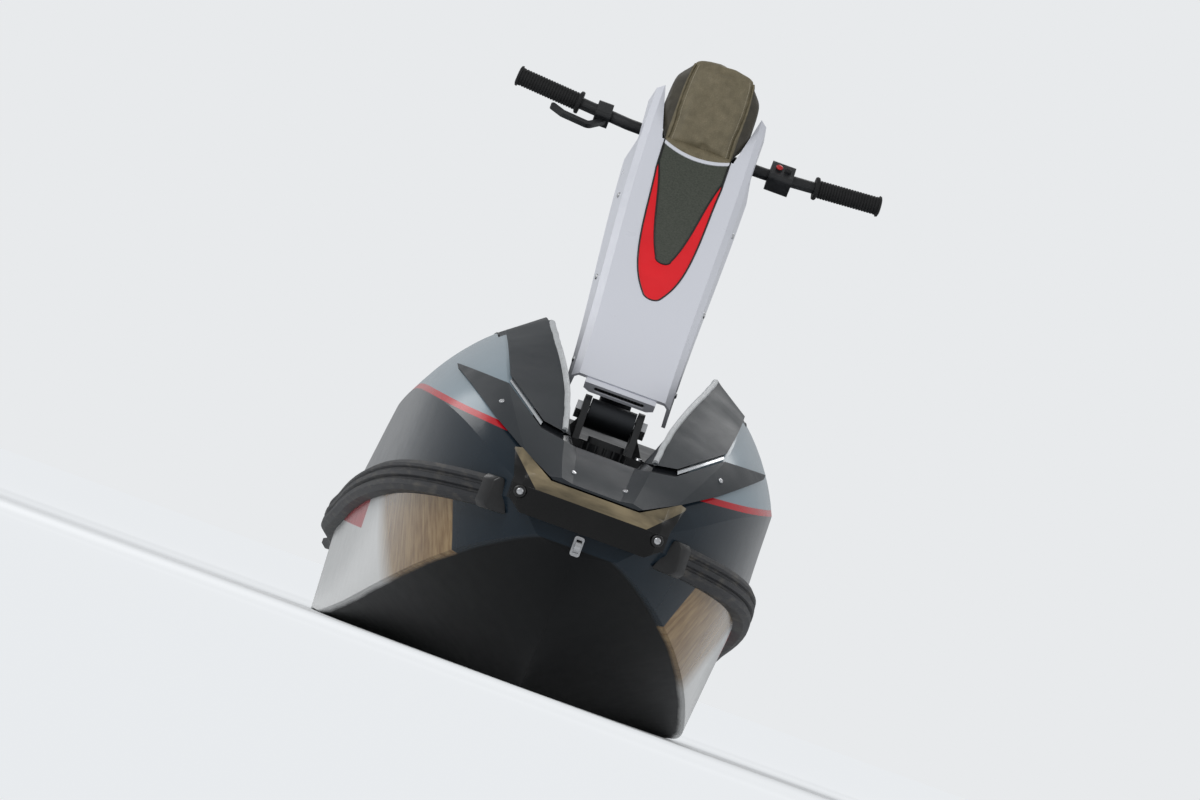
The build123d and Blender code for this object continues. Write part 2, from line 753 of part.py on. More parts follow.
# Moulded bosses under the cover that it rests on the arm with
COVER_BOSSES = (130.0, 560.0)
COVER_BOSS_WIDTH = 44.0
COVER_BOSS_LENGTH = 24.0


def cover_form(inset):
    with BuildPart() as form:
        for u, top_half, top, skirt_half, skirt in COVER_SECTIONS:
            with BuildSketch(pole_section(u)):
                with BuildLine():
                    points = [
                        (skirt_half - inset, skirt - 3 * inset),
                        (top_half - inset, top - COVER_EDGE),
                        (top_half - COVER_EDGE, top - inset),
                    ]
                    Polyline(*both_halves(points), close=True)
                make_face()
        loft()
    return form.part


cover_solid = cover_form(0)
cover_hollow = cover_form(COVER_WALL)
# Tongue-shaped inlay in the top, a coloured band round a darker insert: half width and u
TRIM_EDGE = ((62, 640), (57, 547), (49, 420), (34, 336), (17, 292))
TRIM_TIP = 280.0
INSERT_EDGE = ((61, 660), (41, 547), (27, 456), (14, 404))
INSERT_TIP = 390.0


def tongue(edge, tip):
    """Outline of a tongue: curved sides from the pad down to a rounded tip."""
    foot_half, foot_u = edge[-1]
    far = PAD_START + 20
    left = [(-half, u) for half, u in reversed(edge)]
    Polyline((-edge[0][0] - 1, far), (edge[0][0] + 1, far), edge[0])
    Spline(*edge)
    ThreePointArc((foot_half, foot_u), (0, tip), (-foot_half, foot_u))
    Spline(*left)
    Line(left[-1], (-edge[0][0] - 1, far))


with BuildPart() as cover_bosses:
    add(cover_solid)
    with BuildSketch(pole_top(ARM_TOP + SEAT_GAP)):
        with Locations(*[(0, u) for u in COVER_BOSSES]):
            Rectangle(COVER_BOSS_WIDTH, COVER_BOSS_LENGTH)
    extrude(amount=THROUGH, mode=Mode.INTERSECT)

with BuildPart() as pole_cover:
    add(cover_solid)
    add(cover_hollow, mode=Mode.SUBTRACT)
    add(cover_bosses.part)
    # Gap for the pad between the two horns
    with BuildSketch(pole_top(UNDER_TOP)):
        with BuildLine():
            Polyline(
                (-HORN_ROOT, PAD_START),
                (HORN_ROOT, PAD_START),
                (HORN_TIP, COVER_SECTIONS[-1][0] + 5),
                (-HORN_TIP, COVER_SECTIONS[-1][0] + 5),
                close=True,
            )
        make_face()
    extrude(amount=THROUGH, mode=Mode.SUBTRACT)
    # Openings in the skirts for the turning handlebar
    with BuildSketch(pole_profile()):
        with Locations((BAR_REACH + 20, BAR_OPENING_V)):
            Rectangle(BAR_OPENING, BAR_OPENING_HIGH)
    extrude(amount=THROUGH, both=True, mode=Mode.SUBTRACT)

with BuildPart() as inlay_skin:
    add(cover_solid)
    for u, top_half, top, skirt_half, skirt in COVER_SECTIONS:
        with BuildSketch(pole_section(u)):
            with BuildLine():
                points = [(top_half + 40, skirt - 30), (top_half + 40, top - INLAY_DEPTH)]
                Polyline(*both_halves(points), close=True)
            make_face()
    loft(mode=Mode.SUBTRACT)

with BuildPart() as inlay_top:
    add(inlay_skin.part)
    with BuildSketch(pole_top(UNDER_TOP)):
        with Locations((0, PAD_START / 2 - 1)):
            Rectangle(2 * BEAM, PAD_START)
    extrude(amount=THROUGH, mode=Mode.INTERSECT)

with BuildPart() as pole_insert:
    add(inlay_top.part)
    with BuildSketch(pole_top(UNDER_TOP)):
        with BuildLine():
            tongue(INSERT_EDGE, INSERT_TIP)
        make_face()
    extrude(amount=THROUGH, mode=Mode.INTERSECT)

with BuildPart() as pole_trim:
    add(inlay_top.part)
    with BuildSketch(pole_top(UNDER_TOP)):
        with BuildLine():
            tongue(TRIM_EDGE, TRIM_TIP)
        make_face()
    extrude(amount=THROUGH, mode=Mode.INTERSECT)
    add(pole_insert.part, mode=Mode.SUBTRACT)

with BuildPart() as cover_pocketed:
    add(pole_cover.part)
    add(pole_trim.part, mode=Mode.SUBTRACT)
    add(pole_insert.part, mode=Mode.SUBTRACT)

cover_pocketed.part.label = "pole_cover"
export_step(cover_pocketed.part, "parts/pole_cover.step")
pole_trim.part.label = "pole_trim"
export_step(pole_trim.part, "parts/pole_trim.step")
pole_insert.part.label = "pole_insert"
export_step(pole_insert.part, "parts/pole_insert.step")

# Pad over the handlebar: u, half width of the foot, the side's top edge and the face, then their v
PAD_SECTIONS = (
    (PAD_START + SEAT_GAP, (66, 44), (65, 60), (60, 68)),
    (765.0, (76, 44), (75, 86), (60, 106)),
    (812.0, (85, 44), (84, 114), (59, 144)),
    (858.0, (72, 62), (73, 132), (54, 166)),
)
with BuildPart() as pole_pad:
    for u, foot, side, face in PAD_SECTIONS:
        with BuildSketch(pole_section(u)):
            with BuildLine():
                Polyline(*both_halves([foot, side, face]), close=True)
            make_face()
    loft()

pole_pad.part.label = "pole_pad"
export_step(pole_pad.part, "parts/pole_pad.step")

# White end piece with a dark slot, at the foot of the cover and clear of the bracket's turning circle
VENT_TOP_HALF = 66.0
VENT_FOOT_HALF = 54.0
VENT_FOOT = EAR_RADIUS + 3.0
VENT_TOP = 53.0
VENT_DEPTH = 14.0
SLOT_LENGTH = 96.0
SLOT_WIDTH = 9.0
SLOT_DEPTH = 10.0
with BuildPart() as pole_vent:
    with BuildSketch(pole_section(COVER_SECTIONS[0][0] - VENT_DEPTH)):
        with BuildLine():
            points = [(VENT_FOOT_HALF, VENT_FOOT), (VENT_TOP_HALF, VENT_FOOT + 6), (VENT_TOP_HALF, VENT_TOP)]
            Polyline(*both_halves(points), close=True)
        make_face()
    extrude(amount=SEAT_GAP - VENT_DEPTH)
    with BuildSketch(pole_section(COVER_SECTIONS[0][0] - VENT_DEPTH)):
        with Locations((0, (VENT_FOOT + VENT_TOP) / 2)):
            SlotOverall(SLOT_LENGTH, SLOT_WIDTH)
    extrude(amount=-SLOT_DEPTH, mode=Mode.SUBTRACT)

pole_vent.part.label = "pole_vent"
export_step(pole_vent.part, "parts/pole_vent.step")

# Handlebar with its stem, clamp, grips and controls, on the steering axis at the pole's end
BAR_RADIUS = 11.0
BAR_HALF = 342.0
BAR_BEND = 130.0
BAR_SWEEP = 24.0
BAR_ROUND = 90.0
GRIP_LENGTH = 125.0
GRIP_RADIUS = 16.5
GRIP_END = 6.0
with BuildPart() as handlebar:
    with BuildLine(pole_top(BAR_RISE)):
        FilletPolyline(
            (-BAR_HALF, BAR_REACH + BAR_SWEEP),
            (-BAR_BEND, BAR_REACH),
            (BAR_BEND, BAR_REACH),
            (BAR_HALF, BAR_REACH + BAR_SWEEP),
            radius=BAR_ROUND,
        )
    bar_path = handlebar.pending_edges_as_wire
    with BuildSketch(Plane(origin=bar_path @ 0, z_dir=bar_path % 0)):
        Circle(BAR_RADIUS)
    sweep(path=bar_path)

handlebar.part.label = "handlebar"
export_step(handlebar.part, "parts/handlebar.step")

bar_lean = Vector(BAR_HALF - BAR_BEND, BAR_SWEEP, 0).normalized()
for name, way in SIDES:
    tip = PIVOT + Vector(way * BAR_HALF, 0, 0) + ALONG * (BAR_REACH + BAR_SWEEP) + ACROSS * BAR_RISE
    outward = Vector(way * bar_lean.X, 0, 0) + ALONG * bar_lean.Y
    with BuildPart() as grip:
        with BuildSketch(Plane(origin=tip + outward * GRIP_END, z_dir=outward)):
            Circle(GRIP_RADIUS)
        extrude(amount=-GRIP_LENGTH)
        with BuildSketch(Plane(origin=tip + outward * GRIP_END, z_dir=outward)):
            Circle(GRIP_RADIUS + 3)
        extrude(amount=-GRIP_END)
        with BuildSketch(Plane(origin=tip + outward * (GRIP_END - GRIP_LENGTH), z_dir=outward)):
            Circle(GRIP_RADIUS + 5)
        extrude(amount=GRIP_END)
        with BuildSketch(Plane(origin=tip, z_dir=outward)):
            Circle(BAR_RADIUS + SHAFT_GAP)
        extrude(amount=-GRIP_LENGTH, mode=Mode.SUBTRACT)
    grip.part.label = f"grip_{name}"
    export_step(grip.part, f"parts/grip_{name}.step")

CLAMP_BASE = -4.0
CLAMP_TOP = 34.0
CLAMP_WIDTH = 84.0
CLAMP_LENGTH = 46.0
with BuildPart() as bar_clamp:
    with BuildSketch(pole_top(CLAMP_BASE)):
        with Locations((0, BAR_REACH)):
            RectangleRounded(CLAMP_WIDTH, CLAMP_LENGTH, 8)
    extrude(amount=CLAMP_TOP - CLAMP_BASE)
    with BuildSketch(pole_profile()):
        with Locations((BAR_REACH, BAR_RISE)):
            Circle(BAR_RADIUS + SHAFT_GAP)
    extrude(amount=CLAMP_WIDTH, both=True, mode=Mode.SUBTRACT)

bar_clamp.part.label = "bar_clamp"
export_step(bar_clamp.part, "parts/bar_clamp.step")

STEM_NUT_RADIUS = 21.0
STEM_NUT_THICK = 12.0
with BuildPart() as steering_stem:
    with BuildSketch(pole_top(CLAMP_BASE)):
        with Locations((0, BAR_REACH)):
            Circle(STEM_RADIUS)
    extrude(amount=-(CLAMP_BASE - STEM_BOSS_BOTTOM + 4))
    with BuildSketch(pole_top(STEM_BOSS_BOTTOM - 2)):
        with Locations((0, BAR_REACH)):
            RegularPolygon(STEM_NUT_RADIUS, 6)
    extrude(amount=-STEM_NUT_THICK)

steering_stem.part.label = "steering_stem"
export_step(steering_stem.part, "parts/steering_stem.step")

# Switch housing on the port side of the bar, round it at BOX_X
BOX_X = 160.0
BOX_LENGTH = 44.0
BUTTON_RADIUS = 6.0
BUTTON_HEIGHT = 5.0
with BuildPart() as switch_housing:
    with BuildSketch(pole_profile(BOX_X)):
        with Locations((BAR_REACH + 2, BAR_RISE)):
            RectangleRounded(48, 40, 8)
    extrude(amount=BOX_LENGTH / 2, both=True)
    with BuildSketch(pole_top(BAR_RISE + 19)):
        with Locations((BOX_X - 8, BAR_REACH + 2), (BOX_X + 9, BAR_REACH + 2)):
            Circle(BUTTON_RADIUS)
    extrude(amount=BUTTON_HEIGHT)
    add(handlebar.part, mode=Mode.SUBTRACT)

switch_housing.part.label = "switch_housing"
export_step(switch_housing.part, "parts/switch_housing.step")

# Finger throttle on the starboard side: perch round the bar and a curved lever ahead of the grip
LEVER_THICK = 10.0
PERCH_HALF = 14.0
with BuildPart() as throttle_lever:
    with BuildSketch(pole_profile(-BOX_X - 20)):
        with Locations((BAR_REACH + 2, BAR_RISE)):
            RectangleRounded(40, 34, 8)
    extrude(amount=PERCH_HALF, both=True)
    with BuildSketch(pole_top(BAR_RISE - 6)):
        with BuildLine():
            lever = FilletPolyline(
                (-BOX_X - 14, BAR_REACH - 14),
                (-BOX_X - 40, BAR_REACH - 40),
                (-BOX_X - 90, BAR_REACH - 34),
                (-BOX_X - 110, BAR_REACH - 24),
                radius=12,
            )
            offset(lever, amount=LEVER_THICK / 2, side=Side.BOTH)
        make_face()
    extrude(amount=LEVER_THICK)
    add(handlebar.part, mode=Mode.SUBTRACT)

throttle_lever.part.label = "throttle_lever"
export_step(throttle_lever.part, "parts/throttle_lever.step")

# Rubber block in the hood's recess that the lowered pole comes down to
REST_STATION = 1180.0
REST_TOP = 602.0
REST_DEPTH = 42.0
REST_WIDTH = 70.0
REST_LENGTH = 60.0
with BuildPart() as pole_rest:
    with BuildSketch(level(REST_TOP)):
        with Locations((0, REST_STATION)):
            RectangleRounded(REST_WIDTH, REST_LENGTH, 10)
    extrude(amount=-REST_DEPTH)
    add(upper_seat, mode=Mode.SUBTRACT)

pole_rest.part.label = "pole_rest"
export_step(pole_rest.part, "parts/pole_rest.step")

# Over-centre latches at the hood's rear corners: a strap from the deck's rim over the hood's edge
LATCH_X = 225.0
LATCH_HALF = 14.0
LATCH_FRONT = 1440.0
LATCH_BACK = 1492.0
LATCH_FOOT = 545.0
LATCH_TOP = 586.0
with BuildPart() as hood_latches:
    for _, way in SIDES:
        with BuildSketch(profile(way * LATCH_X)):
            with BuildLine():
                Polyline(
                    (LATCH_FRONT, LATCH_FOOT),
                    (LATCH_BACK, LATCH_FOOT),
                    (LATCH_BACK, LATCH_TOP - 14),
                    (LATCH_BACK - 8, LATCH_TOP - 8),
                    (LATCH_FRONT + 8, LATCH_TOP),
                    (LATCH_FRONT, LATCH_TOP - 4),
                    close=True,
                )
            make_face()
        extrude(amount=LATCH_HALF, both=True)
    add(upper_seat, mode=Mode.SUBTRACT)

hood_latches.part.label = "hood_latches"
export_step(hood_latches.part, "parts/hood_latches.step")

# Jet pump. Offsets aft of the pump's face, radii about its axis
FLANGE_RADIUS = 95.0
FLANGE_THICK = 12.0
HOUSING_LENGTH = 240.0
CONE_LENGTH = 90.0
TIP_LENGTH = 60.0
TIP_BORE = 38.0
TIP_WALL = 6.0
STATOR_FRONT = 118.0
STATOR_HUB = 30.0
STATOR_VANES = 7
VANE_THICK = 4.0
VANE_TURN = -28.0
IMPELLER_FRONT = 20.0
IMPELLER_LENGTH = 85.0
IMPELLER_HUB = 27.0
IMPELLER_BLADES = 4
BLADE_THICK = 4.0
BLADE_TURN = 62.0
TIP_GAP = 1.5
BEARING_LENGTH = 60.0
NOZZLE_PIVOT = 386.0
NOZZLE_BACK = 505.0
NOZZLE_BORE = 40.0
NOZZLE_WALL = 5.0
BOWL_BORE = 62.0
BOWL_FRONT = 15.0
PIN_RADIUS = 7.0
LUG_PLATE = 8.0
PUMP_LUG_HALF = 14.0
PIN_HEAD_RADIUS = 11.0
PIN_HEAD_THICK = 6.0
BOWL_LENGTH = 22.0
LIP_LENGTH = 12.0


def pump_profile():
    """Half section of the pump: local x is the offset aft of its face, local y the radius."""
    origin = (0, PUMP_FACE - LENGTH / 2, PUMP_AXIS - WATERLINE)
    return Plane(origin=origin, x_dir=(0, 1, 0), z_dir=(1, 0, 0))


def pump_disc(offset):
    """Plane across the pump's axis: local x is +X, local y is the height over the axis."""
    origin = (0, PUMP_FACE + offset - LENGTH / 2, PUMP_AXIS - WATERLINE)
    return Plane(origin=origin, x_dir=(1, 0, 0), z_dir=(0, -1, 0))


PUMP_LINE = Axis((0, PUMP_FACE - LENGTH / 2, PUMP_AXIS - WATERLINE), (0, 1, 0))


def vanes(count, front, back, inner, outer, turn, thick):
    """Evenly spaced twisted blades from hub to wall, turned about the pump's axis along their length."""
    with BuildPart() as blade:
        for share in (0, 0.5, 1):
            plane = pump_disc(front + share * (back - front)).rotated((0, 0, share * turn))
            with BuildSketch(plane):
                with Locations((0, (inner + outer) / 2)):
                    Rectangle(thick, outer - inner)
        loft()
    return [blade.part.rotate(PUMP_LINE, number * 360 / count) for number in range(count)]


stator_vanes = vanes(
    STATOR_VANES,
    STATOR_FRONT + 12,
    HOUSING_LENGTH - 22,
    STATOR_HUB - 6,
    PUMP_BORE + 4,
    VANE_TURN,
    VANE_THICK,
)
impeller_blades = vanes(
    IMPELLER_BLADES,
    IMPELLER_FRONT,
    IMPELLER_FRONT + IMPELLER_LENGTH,
    IMPELLER_HUB - 8,
    PUMP_BORE + 2,
    BLADE_TURN,
    BLADE_THICK,
)

OUTER = PUMP_BORE + PUMP_WALL
TIP_OUTER = TIP_BORE + TIP_WALL
CONE_BACK = HOUSING_LENGTH + CONE_LENGTH
PUMP_BACK = CONE_BACK + TIP_LENGTH
with BuildPart() as pump_housing:
    with BuildSketch(pump_profile()):
        with BuildLine():
            Polyline(
                (0, PUMP_BORE),
                (HOUSING_LENGTH - 6, PUMP_BORE),
                (CONE_BACK, TIP_BORE),
                (PUMP_BACK, TIP_BORE),
                (PUMP_BACK, TIP_OUTER),
                (CONE_BACK, TIP_OUTER),
                (HOUSING_LENGTH, OUTER),
                (FLANGE_THICK, OUTER),
                (FLANGE_THICK, FLANGE_RADIUS),
                (0, FLANGE_RADIUS),
                close=True,
            )
        make_face()
    revolve(axis=PUMP_LINE)
    # Stator: hub with a tail cone, held by the vanes
    with BuildSketch(pump_profile()):
        with BuildLine():
            Polyline(
                (STATOR_FRONT, 0),
                (STATOR_FRONT, STATOR_HUB - 2),
                (STATOR_FRONT + 8, STATOR_HUB),
                (HOUSING_LENGTH - 10, STATOR_HUB),
                (HOUSING_LENGTH + 50, 6),
                (HOUSING_LENGTH + 54, 0),
                close=True,
            )
        make_face()
    revolve(axis=PUMP_LINE)
    add(stator_vanes)
    # Lugs above and below the steering nozzle's bowl, drilled for its pins
    for way in (1, -1):
        with BuildSketch(pump_disc(HOUSING_LENGTH - 14)):
            with Locations((0, way * (OUTER - LUG_PLATE / 2))):
                Rectangle(2 * PUMP_LUG_HALF, LUG_PLATE)
        extrude(amount=-(NOZZLE_PIVOT + PUMP_LUG_HALF - HOUSING_LENGTH + 14))
    with BuildSketch(Plane(origin=(0, PUMP_FACE + NOZZLE_PIVOT - LENGTH / 2, PUMP_AXIS - WATERLINE))):
        Circle(PIN_RADIUS + SHAFT_GAP)
    extrude(amount=OUTER + 5, both=True, mode=Mode.SUBTRACT)
    # Bearing for the drive shaft's end
    with BuildSketch(pump_disc(STATOR_FRONT - 1)):
        Circle(SHAFT_RADIUS + SHAFT_GAP)
    extrude(amount=-BEARING_LENGTH - 1, mode=Mode.SUBTRACT)

pump_housing.part.label = "pump_housing"
export_step(pump_housing.part, "parts/pump_housing.step")

with BuildPart() as impeller:
    with BuildSketch(pump_profile()):
        with BuildLine():
            Polyline(
                (IMPELLER_FRONT - 24, SHAFT_RADIUS),
                (IMPELLER_FRONT - 24, SHAFT_RADIUS + 4),
                (IMPELLER_FRONT + 10, IMPELLER_HUB - 3),
                (IMPELLER_FRONT + 40, IMPELLER_HUB),
                (IMPELLER_FRONT + IMPELLER_LENGTH + 6, IMPELLER_HUB),
                (IMPELLER_FRONT + IMPELLER_LENGTH + 6, SHAFT_RADIUS),
                close=True,
            )
        make_face()
    revolve(axis=PUMP_LINE)
    add(impeller_blades)
    with BuildSketch(pump_disc(0)):
        Circle(SHAFT_RADIUS + SHAFT_GAP)
    extrude(amount=THROUGH, both=True, mode=Mode.SUBTRACT)
    # Blade tips trimmed to the bore
    with BuildSketch(pump_disc(0)):
        Circle(PUMP_BORE + 30)
        Circle(PUMP_BORE - TIP_GAP, mode=Mode.SUBTRACT)
    extrude(amount=THROUGH, both=True, mode=Mode.SUBTRACT)

impeller.part.label = "impeller"
export_step(impeller.part, "parts/impeller.step")

ENGINE_BACK = (BAY_FRONT + BAY_BACK) / 2 + ENGINE_LENGTH / 2
with BuildPart() as drive_shaft:
    with BuildSketch(station(ENGINE_BACK + SEAT_GAP)):
        with Locations((0, PUMP_AXIS)):
            Circle(SHAFT_RADIUS)
    extrude(amount=-(PUMP_FACE + STATOR_FRONT + BEARING_LENGTH - 2 - ENGINE_BACK - SEAT_GAP))

drive_shaft.part.label = "drive_shaft"
export_step(drive_shaft.part, "parts/drive_shaft.step")

with BuildPart() as steering_nozzle:
    with BuildSketch(pump_profile()):
        with BuildLine():
            Polyline(
                (NOZZLE_PIVOT - BOWL_FRONT, BOWL_BORE),
                (NOZZLE_PIVOT + BOWL_LENGTH, BOWL_BORE),
                (NOZZLE_BACK - LIP_LENGTH, NOZZLE_BORE),
                (NOZZLE_BACK, NOZZLE_BORE),
                (NOZZLE_BACK, NOZZLE_BORE + NOZZLE_WALL),
                (NOZZLE_BACK - LIP_LENGTH, NOZZLE_BORE + NOZZLE_WALL),
                (NOZZLE_PIVOT + BOWL_LENGTH, BOWL_BORE + NOZZLE_WALL),
                (NOZZLE_PIVOT - BOWL_FRONT, BOWL_BORE + NOZZLE_WALL),
                close=True,
            )
        make_face()
    revolve(axis=PUMP_LINE)
    pivot_plane = Plane(origin=(0, PUMP_FACE + NOZZLE_PIVOT - LENGTH / 2, PUMP_AXIS - WATERLINE))
    for way in (1, -1):
        with BuildSketch(pivot_plane.offset(way * (BOWL_BORE + 2))):
            Circle(PUMP_LUG_HALF - 1)
        extrude(amount=way * 8)
    # Steering arm on the port side, drilled for the cable's end
    with BuildSketch(pivot_plane.offset(-4)):
        with BuildLine():
            Polyline(
                (BOWL_BORE + 2, -8),
                (BOWL_BORE + 20, 4),
                (BOWL_BORE + 20, 24),
                (BOWL_BORE + 2, 22),
                close=True,
            )
        make_face()
        with Locations((BOWL_BORE + 13, 14)):
            Circle(4, mode=Mode.SUBTRACT)
    extrude(amount=8)
    with BuildSketch(pivot_plane):
        Circle(PIN_RADIUS + SHAFT_GAP)
    extrude(amount=OUTER + 5, both=True, mode=Mode.SUBTRACT)

steering_nozzle.part.label = "steering_nozzle"
export_step(steering_nozzle.part, "parts/steering_nozzle.step")

with BuildPart() as nozzle_pins:
    for way in (1, -1):
        with BuildSketch(pivot_plane.offset(way * (BOWL_BORE + 1))):
            Circle(PIN_RADIUS)
        extrude(amount=way * (OUTER - BOWL_BORE - 1))
        with BuildSketch(pivot_plane.offset(way * OUTER)):
            RegularPolygon(PIN_HEAD_RADIUS, 6)
        extrude(amount=way * PIN_HEAD_THICK)

nozzle_pins.part.label = "nozzle_pins"
export_step(nozzle_pins.part, "parts/nozzle_pins.step")

# Ride plate under the pump, following the keel's V
PLATE_THICK = 8.0
PLATE_RISE = 26.0
PLATE_FRONT = PUMP_FACE + 16.0
PLATE_BACK = TRANSOM - 14.0
PLATE_HALF = TUNNEL_HALF - SEAT_GAP
PLATE_LOW = 2.0
with BuildPart() as ride_plate:
    with BuildSketch(station(PLATE_FRONT)):
        with BuildLine():
            Polyline(
                (0, PLATE_LOW),
                (PLATE_HALF, PLATE_LOW + PLATE_RISE),
                (PLATE_HALF, PLATE_LOW + PLATE_RISE + PLATE_THICK),
                (0, PLATE_LOW + PLATE_THICK),
                (-PLATE_HALF, PLATE_LOW + PLATE_RISE + PLATE_THICK),
                (-PLATE_HALF, PLATE_LOW + PLATE_RISE),
                close=True,
            )
        make_face()
    extrude(amount=-(PLATE_BACK - PLATE_FRONT))

ride_plate.part.label = "ride_plate"
export_step(ride_plate.part, "parts/ride_plate.step")

# Intake grate: bars along the scoop's mouth, joined by a cross bar
GRATE_BARS = 4
GRATE_SPACING = 28.0
GRATE_BAR_HALF = 4.0
GRATE_LOW = 8.0
GRATE_HIGH = 22.0
GRATE_CROSS_RADIUS = 5.0


def scoop_front(h):
    return INTAKE_FRONT + (INTAKE_BACK - INTAKE_FRONT) * (h - INTAKE_LOW) / (INTAKE_ROOF - INTAKE_LOW)


def scoop_back(h):
    return INTAKE_BACK - 10 + 30 * (h - INTAKE_LOW) / (INTAKE_LIP - INTAKE_LOW)


with BuildPart() as intake_grate:
    for count in range(GRATE_BARS):
        x = (count - (GRATE_BARS - 1) / 2) * GRATE_SPACING
        with BuildSketch(profile(x)):
            with BuildLine():
                Polyline(
                    (scoop_front(GRATE_LOW) + SEAT_GAP, GRATE_LOW),
                    (scoop_back(GRATE_LOW) - SEAT_GAP, GRATE_LOW),
                    (scoop_back(GRATE_HIGH) - SEAT_GAP, GRATE_HIGH),
                    (scoop_front(GRATE_HIGH) + SEAT_GAP, GRATE_HIGH),
                    close=True,
                )
            make_face()
        extrude(amount=GRATE_BAR_HALF, both=True)
    with BuildSketch(profile()):
        with Locations(((INTAKE_FRONT + INTAKE_BACK) / 2 + 60, (GRATE_LOW + GRATE_HIGH) / 2)):
            Circle(GRATE_CROSS_RADIUS)
    extrude(amount=PUMP_BORE - 6, both=True)

intake_grate.part.label = "intake_grate"
export_step(intake_grate.part, "parts/intake_grate.step")

# Fittings on the transom
OUTLET_X = -222.0
OUTLET_HEIGHT = 165.0
OUTLET_RADIUS = 30.0
OUTLET_WALL = 10.0
OUTLET_PROUD = 12.0
OUTLET_FLOOR = 4.0
with BuildPart() as exhaust_outlet:
    with BuildSketch(station(TRANSOM)):
        with Locations((OUTLET_X, OUTLET_HEIGHT)):
            Circle(OUTLET_RADIUS + OUTLET_WALL)
            Circle(OUTLET_RADIUS, mode=Mode.SUBTRACT)
    extrude(amount=-OUTLET_PROUD)
    chamfer(exhaust_outlet.faces().sort_by(Axis.Y)[-1].edges(), OUTLET_FLOOR)
    with BuildSketch(station(TRANSOM)):
        with Locations((OUTLET_X, OUTLET_HEIGHT)):
            Circle(OUTLET_RADIUS)
    extrude(amount=-OUTLET_FLOOR)

exhaust_outlet.part.label = "exhaust_outlet"
export_step(exhaust_outlet.part, "parts/exhaust_outlet.step")

PLUG_X = 160.0
PLUG_HEIGHT = 84.0
PLUG_RADIUS = 18.0
PLUG_THICK = 4.0
PLUG_HEX_RADIUS = 12.0
PLUG_HEX_THICK = 8.0
with BuildPart() as drain_plugs:
    with BuildSketch(station(TRANSOM)):
        with Locations((PLUG_X, PLUG_HEIGHT), (-PLUG_X, PLUG_HEIGHT)):
            Circle(PLUG_RADIUS)
    extrude(amount=-PLUG_THICK)
    with BuildSketch(station(TRANSOM + PLUG_THICK)):
        with Locations((PLUG_X, PLUG_HEIGHT), (-PLUG_X, PLUG_HEIGHT)):
            RegularPolygon(PLUG_HEX_RADIUS, 6)
    extrude(amount=-PLUG_HEX_THICK)

drain_plugs.part.label = "drain_plugs"
export_step(drain_plugs.part, "parts/drain_plugs.step")
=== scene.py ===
from math import cos, pi, radians, sin

import bmesh
import bpy
from mathutils import Matrix, Quaternion, Vector
from mathutils.bvhtree import BVHTree


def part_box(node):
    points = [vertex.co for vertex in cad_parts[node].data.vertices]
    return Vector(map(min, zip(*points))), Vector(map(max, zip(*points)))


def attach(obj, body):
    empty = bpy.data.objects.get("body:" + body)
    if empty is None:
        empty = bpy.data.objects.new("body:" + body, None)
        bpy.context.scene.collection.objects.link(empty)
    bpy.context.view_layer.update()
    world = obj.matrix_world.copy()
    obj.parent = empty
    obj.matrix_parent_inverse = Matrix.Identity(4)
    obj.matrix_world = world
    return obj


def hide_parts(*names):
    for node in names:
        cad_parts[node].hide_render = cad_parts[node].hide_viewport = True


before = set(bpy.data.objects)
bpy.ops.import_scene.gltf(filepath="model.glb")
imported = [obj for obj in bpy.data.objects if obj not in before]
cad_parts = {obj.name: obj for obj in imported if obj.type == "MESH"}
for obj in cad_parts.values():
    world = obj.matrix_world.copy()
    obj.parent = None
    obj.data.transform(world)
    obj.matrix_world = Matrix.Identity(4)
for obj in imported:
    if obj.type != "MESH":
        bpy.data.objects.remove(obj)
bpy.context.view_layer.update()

# View: a long lens close to the floor, ahead of the bow and a little to starboard. It is rolled by the
# angle that the craft leans at in its turn.
TARGET = Vector((-0.031, -0.75, 0.527))
DISTANCE = 40.0
AZIMUTH = radians(-2.0)
ELEVATION = radians(-0.62)
LEAN = radians(20.0)
SHOWN_HEIGHT = 1.42
SENSOR_WIDTH = 36.0
SENSOR_HEIGHT = 24.0
FARTHEST = 600.0

back = Vector((sin(AZIMUTH) * cos(ELEVATION), -cos(AZIMUTH) * cos(ELEVATION), sin(ELEVATION)))
camera_data = bpy.data.cameras.new("camera")
camera_data.sensor_width = SENSOR_WIDTH
camera_data.lens = SENSOR_HEIGHT * DISTANCE / SHOWN_HEIGHT
camera_data.clip_end = FARTHEST
camera = bpy.data.objects.new("camera", camera_data)
camera.rotation_mode = "QUATERNION"
camera.location = TARGET + back * DISTANCE
camera.rotation_quaternion = (-back).to_track_quat("-Z", "Y") @ Quaternion((0, 0, 1), LEAN)
bpy.context.collection.objects.link(camera)
bpy.context.scene.camera = camera
bpy.context.scene.view_settings.view_transform = "Standard"


# Studio: a pale floor at the waterline, a pale surround and four soft boxes. The floor glows a little to
# the camera where the lamps' light falls off, so that it meets the surround evenly.
def srgb(red, green, blue):
    """Colour as it shows on screen, 0 to 255, as the linear values that a shader takes."""
    shares = (red / 255, green / 255, blue / 255)
    return tuple(c / 12.92 if c <= 0.04045 else ((c + 0.055) / 1.055) ** 2.4 for c in shares)


def finish(name, colour, roughness, metallic=0.0, specular=0.5):
    """New material with its node tree and its shader."""
    material = bpy.data.materials.new(name)
    material.use_nodes = True
    shader = material.node_tree.nodes["Principled BSDF"]
    shader.inputs["Base Color"].default_value = (*colour, 1)
    shader.inputs["Roughness"].default_value = roughness
    shader.inputs["Metallic"].default_value = metallic
    shader.inputs["Specular IOR Level"].default_value = specular
    return material, material.node_tree, shader


